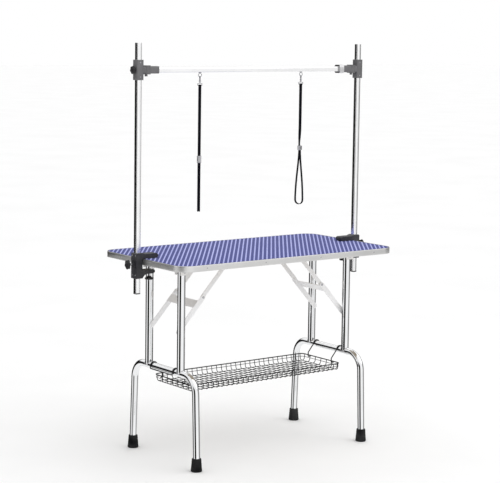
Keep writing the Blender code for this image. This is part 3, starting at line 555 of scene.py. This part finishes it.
def rounded_rectangle(half_u, half_v, radius, steps=8):
    """The outline of a rectangle with round corners, as (u, v) points."""
    points = []
    for corner in range(4):
        cu = (half_u - radius) * (1 if corner in (0, 3) else -1)
        cv = (half_v - radius) * (1 if corner in (0, 1) else -1)
        for k in range(steps + 1):
            t = math.radians(90 * corner + 90 * k / steps)
            points.append((cu + radius * math.cos(t), cv + radius * math.sin(t)))
    return points


def fillet_path(corners, radius, steps=8, closed=False):
    """A path with each corner rounded. A corner may give its own radius as a fourth number."""
    count = len(corners)
    result = []
    for i in range(count):
        b = Vector(corners[i][:3])
        if not closed and i in (0, count - 1):
            result.append(b)
            continue
        a, c = Vector(corners[i - 1][:3]), Vector(corners[(i + 1) % count][:3])
        own = corners[i][3] if len(corners[i]) > 3 else radius
        u, v = (a - b).normalized(), (c - b).normalized()
        angle = u.angle(v)
        if angle > math.radians(179):
            result.append(b)
            continue
        cut = min(own / math.tan(angle / 2), (a - b).length * 0.49, (c - b).length * 0.49)
        reach = cut * math.tan(angle / 2)
        middle = b + (u + v).normalized() * (reach / math.sin(angle / 2))
        start, end = b + u * cut - middle, b + v * cut - middle
        for k in range(steps + 1):
            result.append(middle + start.slerp(end, k / steps, start).normalized() * reach)
    return result


def torus_bead(name, place, ring_radius, bead, wobble, steps=48):
    """A weld bead round a tube: a lumpy ring that follows the saddle of the tube below it."""
    path = []
    for k in range(steps):
        t = 2 * math.pi * k / steps
        x, y = ring_radius * math.cos(t), ring_radius * math.sin(t)
        drop = ARCH_R - math.sqrt(max(ARCH_R ** 2 - x ** 2, 0.0))
        path.append(Vector(place) + Vector((x, y, -drop)))
    radii = [bead * (1 + wobble * math.sin(k * 2.9)) for k in range(steps)]
    return tube(name, path, radii, 8, closed=True)


# ---------------------------------------------------------------- the two nooses
def turned_z(vector, angle):
    """A flat vector turned about Z."""
    x, y = vector
    return Vector((x * math.cos(angle) - y * math.sin(angle), x * math.sin(angle) + y * math.cos(angle), 0))


FACING = turned_z((1, 0), -VIEW_TURN)
AWAY = turned_z((0, 1), -VIEW_TURN)


def swing_axis(side):
    """The point that a noose hangs and swings from: the bottom of its eye."""
    return Vector((NOOSE_X[side], 0, BAR_Z - POST_SIZE / 2 - GAP - EYE_NECK - 2 * EYE_R))


def noose_side(wide, high, low, strand):
    """One side of a noose, from its sleeve to near the bottom, as (out, height) points."""
    points = []
    bottom = low + wide
    for k in range(1, 7):
        share = k / 6
        swell = math.sin(share * math.pi / 2) ** 1.5
        points.append((strand + (wide - strand) * swell, high - (high - bottom) * share))
    for turn in (25, 50, 72):
        t = math.radians(turn)
        points.append((wide * math.cos(t), bottom - wide * math.sin(t)))
    return points


def noose_directions(side):
    """The flat direction that a noose opens in, and the direction of its strap's width."""
    turn = NOOSE_TURN[side] - VIEW_TURN
    return turned_z((1, 0), turn), turned_z((0, 1), turn)


def strap_stations(side, axis, ring_z):
    """Centre line and width direction of a noose strap, from the hook's ring to the strap's end."""
    opening, width = noose_directions(side)
    twist = math.pi / 2 + NOOSE_TURN[side]
    wrap = STRAP_WRAP
    slide = axis.z - SLIDE_DROP[side]
    foot = slide - SLIDE_HEIGHT[side]
    low = axis.z - NOOSE_DROP[side]
    strand = STRAND
    wide = NOOSE_HALF_WIDTH[side]
    path = [(AWAY * wrap, ring_z - 0.016, FACING)]
    for turn in (0, 30, 60, 90, 120, 150, 180):
        t = math.radians(turn)
        path.append((AWAY * (wrap * math.cos(t)), ring_z + wrap * math.sin(t), FACING))
    path.append((AWAY * -wrap, ring_z - 0.012, FACING))
    path.append((AWAY * (-wrap * 0.3), ring_z - 0.030, FACING))
    path.append((AWAY * 0.0, slide + 0.075, FACING))
    for k in range(1, 6):
        across = turned_z((1, 0), twist * k / 6 - VIEW_TURN)
        path.append((opening * (-strand * k / 6), slide + 0.075 - 0.010 * k, across))
    path.append((opening * -strand, slide + 0.015, width))
    path.append((opening * -strand, foot, width))
    outward = noose_side(wide, foot, low, strand)
    path += [(opening * -u, z, width) for u, z in outward]
    path.append((opening * 0.0, low, width))
    path += [(opening * u, z, width) for u, z in outward[::-1]]
    path.append((opening * strand, foot, width))
    path.append((opening * strand, slide - 0.004, width))
    base = Vector((axis.x, 0, 0))
    return [(base + flat + Vector((0, 0, z)), across) for flat, z, across in path]


def smooth_stations(stations, step=0.004):
    """More stations along a smooth curve through the given ones."""
    result = []
    count = len(stations)
    for i in range(count - 1):
        p = [stations[min(max(j, 0), count - 1)] for j in (i - 1, i, i + 1, i + 2)]
        a, b, c, d = (q[0] for q in p)
        span = (c - b).length
        pull_b = (c - a) * (span / max((b - a).length + span, 1e-6))
        pull_c = (d - b) * (span / max((d - c).length + span, 1e-6))
        pieces = max(2, math.ceil(span / step))
        for k in range(pieces):
            t = k / pieces
            place = b * (2 * t ** 3 - 3 * t ** 2 + 1) + pull_b * (t ** 3 - 2 * t ** 2 + t)
            place = place + c * (-2 * t ** 3 + 3 * t ** 2) + pull_c * (t ** 3 - t ** 2)
            result.append((place, p[1][1].lerp(p[2][1], t).normalized()))
    return result + [stations[-1]]


def strap_section():
    """Half-round selvedges and a slightly hollow face, as (across, through) points."""
    w, h = STRAP_WIDTH / 2, STRAP_THICKNESS / 2
    upper = [(-w, 0.0), (-w * 0.97, h * 0.62), (-w * 0.86, h * 0.95), (-w * 0.45, h * 0.82), (0.0, h * 0.78)]
    upper += [(-u, v) for u, v in upper[-2::-1]]
    return upper + [(u, -v) for u, v in upper[-2:0:-1]]


def build_strap(side):
    """A noose of webbing along the CAD strap's own route."""
    axis = swing_axis(side)
    ring_z = axis.z - STRAP_TOP_DROP
    stations = smooth_stations(strap_stations(side, axis, ring_z))
    section = strap_section()
    rings = []
    count = len(stations)
    for i, (place, across) in enumerate(stations):
        tangent = (stations[min(i + 1, count - 1)][0] - stations[max(i - 1, 0)][0]).normalized()
        through = tangent.cross(across).normalized()
        wide = through.cross(tangent).normalized()
        rings.append([place + wide * u + through * v for u, v in section])
    name = f"{side}_noose_strap"
    strap = add_piece(name, mesh_from(name, *bridge(rings)), f"{side}_loop", "webbing", sharp=60)
    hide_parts(f"{side}_loop_strap")
    build_hook(side, axis)
    build_slide(side, axis)
    add_stitching(side, axis, ring_z)


def add_stitching(side, axis, ring_z):
    """Three short rows of thread where the strap is sewn round the ring."""
    rows = []
    for row in range(3):
        z = ring_z - 0.0055 - row * 0.004
        out = AWAY * (-STRAP_WRAP - STRAP_THICKNESS / 2 + 0.0003)
        start = Vector((axis.x, 0, z)) + out - FACING * 0.0045
        path = [start + FACING * (0.009 * k / 12) + AWAY * (-0.0003 * (k % 2)) for k in range(13)]
        rows.append(tube("thread", path, 0.00035, 6))
    name = f"{side}_noose_stitching"
    add_piece(name, join(name, rows), f"{side}_loop", "webbing")


def build_hook(side, axis):
    """A snap hook: a long wire link with a spring gate, a swivel barrel and a square ring."""
    x, z = axis.x, axis.z
    half = WIRE_R + GAP + WIRE_R
    link = []
    for start, level in ((0.0, z), (math.pi, z - LINK_DROP)):
        for k in range(13):
            t = start + math.pi * k / 12
            link.append((x, half * math.cos(t), level + half * math.sin(t)))
    top = z - BARREL_TOP
    foot = top - BARREL_LENGTH
    ring_high = axis.z - STRAP_TOP_DROP + 0.010
    centre = Vector((x, 0, axis.z - STRAP_TOP_DROP + 0.005))
    outline = rounded_rectangle(STRAP_WIDTH / 2 + 0.0025, 0.005, 0.0022, 5)
    ring = [centre + FACING * u + Vector((0, 0, v)) for u, v in outline]
    barrel = [(0.0028, 0.0), (0.0042, 0.0010), (0.0045, 0.0025), (0.0036, 0.0040)]
    barrel += [(0.0045, 0.0055), (0.0045, 0.0088), (0.003, 0.010)]
    stem = [(0.0025, 0.0), (0.0032, 0.001), (0.0025, 0.002), (0.0025, foot - ring_high + 0.002)]
    gate = [(0.0008, 0.0), (0.0014, 0.0008), (0.0014, 0.0082), (0.0008, 0.0090)]
    parts = [
        tube("link", link, WIRE_R, 14, closed=True, first_side=(1, 0, 0)),
        tube("ring", ring, WIRE_R, 14, closed=True, first_side=tuple(AWAY)),
        lathe("barrel", rounded_profile(barrel, 0.0006, 3), (x, 0, foot), steps=32),
        lathe("stem", stem, (x, 0, ring_high - 0.001), steps=24),
        lathe("gate", gate, (x + 0.0018, half, z - 0.0095), steps=16),
    ]
    name = f"{side}_snap_hook"
    piece = add_piece(name, join(name, parts), f"{side}_loop", "zinc")
    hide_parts(f"{side}_loop_hook")
    return piece


def build_slide(side, axis):
    """The sleeve that holds the noose's size: a rounded tube with rolled rims and a pressed groove."""
    opening, width = noose_directions(side)
    top = axis.z - SLIDE_DROP[side]
    height = SLIDE_HEIGHT[side]
    levels = [(0.0, -0.0006), (0.0006, 0.0), (height * 0.12, 0.0)]
    levels += [(height * 0.17, -0.0005), (height * 0.22, -0.0001)]
    levels += [(height - z, out) for z, out in levels[::-1]]
    outlines = [(z, rounded_rectangle(0.0075 + out, 0.0095 + out, 0.003, 6)) for z, out in levels]
    outlines += [(z, rounded_rectangle(0.0046, 0.0074, 0.0012, 6)) for z in (height, 0.0)]
    rings = []
    for z, outline in outlines:
        centre = Vector((axis.x, 0, top - height + z))
        rings.append([centre + opening * u + width * v for u, v in outline])
    name = f"{side}_noose_slide"
    piece = add_piece(name, mesh_from(name, *bridge(rings, closed=True)), f"{side}_loop", "zinc")
    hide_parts(f"{side}_loop_slide")
    return piece


def build_eye(side):
    """The screw eye under the crossbar, with a turned collar."""
    x = NOOSE_X[side]
    under = BAR_Z - POST_SIZE / 2 - GAP
    ring_z = under - EYE_NECK - EYE_R
    ring = []
    for k in range(40):
        t = 2 * math.pi * k / 40
        ring.append((x + EYE_R * math.cos(t), 0, ring_z + EYE_R * math.sin(t)))
    collar = [(0.0035, 0.0), (0.0052, 0.0008), (0.0060, 0.0014), (0.0060, 0.0036), (0.0052, 0.0040)]
    parts = [
        tube("ring", ring, WIRE_R, 14, closed=True, first_side=(0, 1, 0)),
        lathe("collar", collar, (x, 0, under - 0.0045), steps=48),
    ]
    name = f"{side}_screw_eye"
    piece = add_piece(name, join(name, parts), "bar", "zinc")
    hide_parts(f"{side}_bar_eye")


# ---------------------------------------------------------------- tabletop
def clipped(points, direction, limit):
    """The part of a convex outline that reaches no further along a direction than a limit."""
    kept = []
    count = len(points)
    for i in range(count):
        a, b = points[i], points[(i + 1) % count]
        u, v = a.dot(direction) - limit, b.dot(direction) - limit
        if u <= 0:
            kept.append(a)
        if (u < 0) != (v < 0):
            kept.append(a.lerp(b, u / (u - v)))
    return kept


def build_mat():
    """A plate with low ribs that run slantwise across it. Their tops are at the CAD height."""
    half_x, half_y = MAT_HIGH.x, MAT_HIGH.y
    ground = TOP_Z - RIB_RISE
    rings = []
    for inset, z in ((0.0, MAT_LOW.z), (0.0, ground - 0.0006), (0.0015, ground)):
        outline = rounded_rectangle(half_x - inset, half_y - inset, MAT_R - inset, 16)
        rings.append([Vector((u, v, z)) for u, v in outline])
    parts = [mesh_from("plate", *bridge(rings))]
    inner = (half_x - MAT_MARGIN, half_y - MAT_MARGIN, MAT_R - MAT_MARGIN)
    outline = [Vector(p) for p in rounded_rectangle(*inner, 16)]
    across = Vector((math.sin(RIB_TURN), -math.cos(RIB_TURN)))
    most = int((half_x * across.x - half_y * across.y) / RIB_PITCH)
    for k in range(-most, most + 1):
        middle = RIB_PITCH * k
        strip = clipped(clipped(outline, across, middle + RIB_HALF), -across, RIB_HALF - middle)
        if len(strip) < 3:
            continue
        low = [Vector((*p, ground - 0.0002)) for p in strip]
        high = []
        for p in strip:
            inward = across * math.copysign(0.0006, middle - p.dot(across))
            high.append(Vector((*(p + inward), TOP_Z)))
        parts.append(mesh_from("rib", *bridge([low, high])))
    mat = add_piece("ribbed_mat", join("ribbed_mat", parts), "table", "mat", sharp=50)
    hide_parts("non_slip_mat")


def build_band():
    """A rolled aluminium edge. Its face is set back so that the screw heads stay in the CAD box."""
    half_x, half_y = BAND_HIGH.x, BAND_HIGH.y
    low, high = BAND_LOW.z, BAND_HIGH.z
    face, back, soft, nose, lip = BAND_FACE, BAND_WALL, 0.0016, 0.00035, 0.0003
    section = [(face, low + soft), (face, high - soft), (face + nose, high - nose), (soft, high)]
    section += [(back - lip, high), (back, high - lip), (back, low + lip), (back - lip, low)]
    section += [(soft, low), (face + nose, low + nose)]
    rings = []
    for inset, z in section:
        outline = rounded_rectangle(half_x - inset, half_y - inset, CORNER_R - inset, 24)
        rings.append([Vector((u, v, z)) for u, v in outline])
    shape = mesh_from("edge_trim", *bridge(rings, closed=True))
    band = add_piece("edge_trim", shape, "table", "aluminium", sharp=50)
    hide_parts("edge_band")


def domed_head(place, direction, radius, height, recess=True):
    """A domed screw or rivet head that sits on a surface."""
    rows = [(radius * 0.995, -0.0003), (radius, 0.0002)]
    rows += [(radius * 0.9, height * 0.6), (radius * 0.62, height * 0.95)]
    if recess:
        rows += [(radius * 0.42, height), (radius * 0.38, height * 0.45), (radius * 0.05, height * 0.4)]
    else:
        rows += [(radius * 0.3, height * 1.08), (radius * 0.03, height * 1.1)]
    return lathe("head", rows, place, direction, steps=24)


def build_top_fixings():
    """Small screws round the edge of the top."""
    face_x, face_y = BAND_HIGH.x - BAND_FACE, BAND_HIGH.y - BAND_FACE
    spots = [((x, s * face_y, SCREW_Z), (0, s, 0)) for x in (-0.455, -0.15, 0.15, 0.455) for s in (-1, 1)]
    spots += [((s * face_x, y, SCREW_Z), (s, 0, 0)) for s in (-1, 1) for y in (-0.15, 0.15)]
    heads = [domed_head(place, out, 0.0030, BAND_FACE) for place, out in spots]
    add_piece("edge_screws", join("edge_screws", heads), "table", "zinc")


# ---------------------------------------------------------------- legs
def arch_line(x):
    """The centre line of a leg's bent tube, from inside one foot to inside the other."""
    corners = [(x, -FOOT_Y, 0.0125), (x, -FOOT_Y, FOOT_HEIGHT + 0.004), (x, -LEG_TOP_Y, ARCH_Z, ARCH_BEND)]
    corners += [(x, -c[1], *c[2:]) for c in corners[::-1]]
    return fillet_path(corners, 0.05, 20)


def build_leg(side, sign):
    """A bent tube with two uprights, open at the top, and a weld bead at each one's foot."""
    body = f"{side}_leg"
    x = sign * LEG_X
    name = f"{side}_arch_tube"
    shape = tube(name, arch_line(x), ARCH_R, 48, first_side=(1, 0, 0))
    arch = add_piece(name, shape, body, "chrome")
    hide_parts(f"{side}_leg_arch")
    for end, across in ENDS.items():
        place = (x, across * UPRIGHT_Y, 0)
        r, top = UPRIGHT_R, UPRIGHT_TOP
        wall = [(r, ARCH_Z + 0.002), (r, top - 0.0004), (r - 0.0004, top)]
        wall += [(r - 0.0014, top), (r - 0.0015, top - 0.02)]
        name = f"{side}_upright_tube_{end}"
        upright = add_piece(name, lathe(name, wall, place, steps=56, caps=False), body, "chrome")
        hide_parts(f"{side}_upright_{end}")
        foot = (x, across * UPRIGHT_Y, ARCH_Z + ARCH_R)
        bead = torus_bead("bead", foot, UPRIGHT_R + 0.0004, 0.0016, 0.12)
        add_piece(f"{side}_weld_{end}", bead, body, "zinc")
        build_foot(side, end, (x, across * FOOT_Y, 0))


def build_foot(side, end, place):
    """A rubber foot with a rolled lip, three grooves and a soft sole."""
    h = FOOT_HEIGHT
    rows = [(0.0170, 0.0), (0.0225, 0.0), (0.0240, 0.0022), (0.0240, 0.0060)]
    rows += [(0.0232, 0.0085), (0.0232, 0.0125)]
    for k in range(3):
        z = 0.0170 + k * 0.0095
        r = 0.0232 - (z - 0.0125) * 0.082
        rows += [(r, z), (r - 0.0009, z + 0.0009), (r - 0.0009, z + 0.0019), (r - 0.0002, z + 0.0028)]
    rows += [(0.0203, h - 0.0065), (0.0200, h - 0.0050), (0.0200, h - 0.0015), (0.0190, h)]
    rows += [(0.0162, h), (0.0154, h - 0.001), (0.0154, h - 0.012)]
    name = f"{side}_rubber_foot_{end}"
    shape = lathe(name, rounded_profile(rows, 0.0006, 2), place, steps=64)
    foot = add_piece(name, shape, f"{side}_leg", "rubber")
    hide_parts(f"{side}_foot_{end}")


def build_hanger(side, sign):
    """A wire bent over the arch twice. Its two toes carry the basket's end rim."""
    wire, y, reach = HANGER_R, HANGER_Y, HANGER_REACH
    rim_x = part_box("basket_floor")[1].x
    toe_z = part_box("basket_wall_front")[1].z - 0.005 - GAP - wire
    inner_x = rim_x - 0.011
    outer_x, low = LEG_X + reach, ARCH_Z - 0.010
    corners = [(outer_x, 0.0, low, 0.001), (outer_x, y, low, 0.004)]
    for k in range(17):
        t = math.pi * k / 16
        corners.append((LEG_X + reach * math.cos(t), y, ARCH_Z + reach * math.sin(t), 0.0001))
    corners += [(inner_x, y, toe_z + 0.020, 0.006), (inner_x, y, toe_z, 0.003), (rim_x + 0.002, y, toe_z)]
    half = [(sign * c[0], *c[1:]) for c in corners]
    other = [(c[0], -c[1], *c[2:]) for c in half[:0:-1]]
    name = f"{side}_hanger_wire"
    shape = tube(name, fillet_path(other + half, 0.004, 4), wire, 14, first_side=(0, 1, 0))
    hanger = add_piece(name, shape, "basket", "black_wire")
    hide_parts(f"{side}_basket_hanger")


# ---------------------------------------------------------------- basket
def basket_loop(half_x, half_y, z, wire, steps):
    """A wire that runs all round the basket at one height."""
    corners = [(half_x, half_y, z), (-half_x, half_y, z), (-half_x, -half_y, z), (half_x, -half_y, z)]
    return tube("loop", fillet_path(corners, RIM_CORNER, 8, closed=True), wire, steps, closed=True)


def basket_trough(reach, rim_z, z):
    """A wire's way down from the rim, along the floor and up again, as (along, height) points."""
    lean = 0.004
    return [(-reach, rim_z), (-reach + lean, z, FOLD), (reach - lean, z, FOLD), (reach, rim_z)]


def build_basket():
    """A wire basket: a thick rim, close U-shaped cross wires and long floor wires."""
    low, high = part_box("basket_floor")
    x, y = high.x, high.y
    rim_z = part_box("basket_wall_front")[1].z - RIM_R
    floor_z = low.z + 0.0015
    ends, side = x - RIM_R - 0.0002, y - RIM_R - 0.0002
    wires = [basket_loop(x - RIM_R, y - RIM_R, rim_z, RIM_R, 12)]
    for k in range(CROSS_WIRES):
        u = -x + 0.016 + (2 * x - 0.032) * k / (CROSS_WIRES - 1)
        path = fillet_path([(u, *p) for p in basket_trough(side, rim_z, floor_z)], FOLD, 5)
        wires.append(tube("cross", path, 0.0016, 8, first_side=(1, 0, 0)))
    for k in range(LONG_WIRES):
        v = -y + 0.022 + (2 * y - 0.044) * k / (LONG_WIRES - 1)
        trough = basket_trough(ends, rim_z, floor_z + 0.0010)
        path = fillet_path([(p[0], v, *p[1:]) for p in trough], FOLD, 5)
        wires.append(tube("long", path, 0.0017, 8, first_side=(0, 1, 0)))
    wires.append(basket_loop(x - 0.0030, y - 0.0030, rim_z - 0.0125, 0.0013, 8))
    basket = add_piece("wire_basket", join("wire_basket", wires), "basket", "black_wire")
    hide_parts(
        "basket_floor",
        "basket_wall_front", "basket_wall_rear", "basket_wall_left", "basket_wall_right",
    )


# ---------------------------------------------------------------- knobs, clamps, sliders
def build_knob(name, node_name, body, place, direction, reach, radius, thickness):
    """A six-lobed knob with a domed cap, a grip rim and a threaded steel shaft."""
    base = reach + 0.006
    top = reach + thickness
    rows = [
        (0.0062, reach - 0.001, 0), (0.0088, reach, 0), (0.0092, reach + 0.0038, 0),
        (radius - 0.0035, reach + 0.0055, 0.003), (radius - 0.0004, base + 0.0004, 0.003),
        (radius, base + 0.0016, 0.003), (radius, top + 0.0010, 0.003),
        (radius - 0.0008, top + 0.0028, 0.003), (radius - 0.0035, top + 0.0044, 0.0025),
        (radius * 0.52, top + 0.0047, 0.0), (radius * 0.46, top + 0.0040, 0.0),
        (radius * 0.05, top + 0.0043, 0.0),
    ]
    shape = lathe(name, rows, place, direction, steps=96, lobes=6)
    knob = add_piece(name, shape, body, "black_plastic", sharp=50)
    turns = max(int((reach - 0.001) / THREAD_PITCH), 2)
    rows = []
    for k in range(turns * 2 + 1):
        rows.append((THREAD_R - (0.00045 if k % 2 else 0.0), 0.0004 + k * THREAD_PITCH / 2))
    thread = lathe(name + "_shaft", rows, place, direction, steps=24)
    add_piece(name + "_shaft", thread, body, "zinc", sharp=80)
    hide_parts(node_name)


def build_knobs():
    for side, sign in SIDES.items():
        lock, slide, jaw = f"{side}_post_lock", f"{side}_slider_knob", f"{side}_clamp_screw"
        tip = (sign * POST_FACE_X, 0, LOCK_Z)
        build_knob(f"{side}_lock_knob", lock, lock, tip, (sign, 0, 0), 0.026, 0.021, 0.009)
        direction = (sign, 0, 0) if side == "left" else (0, 1, 0)
        tip = Vector((sign * POST_X, 0, BAR_Z)) + Vector(direction) * (POST_SIZE / 2 + GAP)
        build_knob(f"{side}_slide_knob", slide, slide, tip, direction, 0.008, 0.018, 0.008)
        tip = (sign * SCREW_X, 0, UNDERSIDE - 2 * GAP - PAD_HEIGHT)
        reach = tip[2] - SCREW_KNOB_Z - 0.020
        build_knob(f"{side}_jaw_knob", jaw, jaw, tip, (0, 0, -1), reach, 0.0195, 0.010)


def build_hardware():
    """The pieces that keep the CAD's own shape, and the board's finish."""
    for side in SIDES:
        refine(f"{side}_clamp_body", "table", "black_plastic", "jaw_plastic", 0.0014)
        refine(f"{side}_clamp_pad", f"{side}_clamp_pad", "black_plastic", None, 0.0005)
        refine(f"{side}_slider", "bar", "grey_plastic", None, 0.0010)
        refine(f"{side}_post", f"{side}_post", "chrome", "square_chrome", 0.0002)
        refine(f"{side}_post_plug", f"{side}_post", "black_plastic", None, 0.0004)
        refine(f"{side}_leg_channel", "table", "white_steel", None, 0.0006)
        refine(f"{side}_leg_hinge_rod", "table", "zinc", None, 0.0004)
        refine(f"{side}_lower_brace", f"{side}_lower_brace", "white_steel", None, 0.0004)
        for end in ENDS:
            refine(f"{side}_upper_link_{end}", f"{side}_upper_links", "white_steel", None, 0.0004)
            refine(f"{side}_brace_bracket_{end}", "table", "white_steel", None, 0.0004)
    refine("crossbar", "bar", "chrome", "bar_chrome", 0.0002)
    refine("bar_collar", "bar", "collar", None, 0.0008)
    board = NODES["tabletop_board"].data
    board.materials.clear()
    board.materials.append(FINISH["board"])


def brace_points(sign):
    """A brace's three pivots: on the underside, at the knee and on the leg."""
    reach, drop = BRACE_REACH, BRACE_DROP
    straight = math.hypot(reach, drop)
    upper = (straight + reach - drop) / 2
    top = Vector((LEG_X - reach, 0, HINGE_Z))
    foot = Vector((LEG_X, 0, HINGE_Z - drop))
    knee = top + (foot - top) * (upper / straight)
    return [Vector((sign * p.x, 0, p.z)) for p in (top, knee, foot)]


def build_rivets():
    """Domed rivet heads at the brace pivots and screws in the clamps and sliders."""
    for side, sign in SIDES.items():
        top, knee, foot = brace_points(sign)
        knees, fixed = [], []
        for across in ENDS.values():
            out = (0, across, 0)
            knees.append(domed_head((knee.x, across * 0.1010, knee.z), out, 0.0058, 0.0022, False))
            knees.append(domed_head((foot.x, across * 0.1030, foot.z), out, 0.0052, 0.0012, False))
            fixed.append(domed_head((top.x, across * 0.0973, top.z), out, 0.0056, 0.0009, False))
        add_piece(f"{side}_brace_rivets", join("rivets", knees), f"{side}_lower_brace", "zinc")
        add_piece(f"{side}_bracket_rivets", join("rivets", fixed), "table", "zinc")
        outer = sign * (POST_FACE_X + 0.005)
        screws = []
        for z in (0.812, 0.894):
            for y in (-0.012, 0.012):
                screws.append(domed_head((outer, y, z), (sign, 0, 0), 0.0028, 0.0012))
        add_piece(f"{side}_clamp_screws", join("screws", screws), "table", "zinc")
        screws = []
        for z in (BAR_Z - 0.030, BAR_Z + 0.030):
            screws.append(domed_head((sign * POST_X, -0.017, z), (0, -1, 0), 0.0026, 0.0010))
        add_piece(f"{side}_slider_screws", join("screws", screws), "bar", "zinc")


make_camera()
FINISH = make_materials()
for noose in SIDES:
    build_strap(noose)
make_world()
make_floor()
add_sun((-0.35, 0.45, -1.0), 0.5, 55)
add_area_light("key", (2.6, -3.6, 3.2), (0, 0, 0.9), 2.0, 15)
for noose in SIDES:
    build_eye(noose)
build_mat()
build_band()
build_top_fixings()
for leg_side, leg_sign in SIDES.items():
    build_leg(leg_side, leg_sign)
    build_hanger(leg_side, leg_sign)
build_basket()
build_knobs()
build_hardware()
build_rivets()
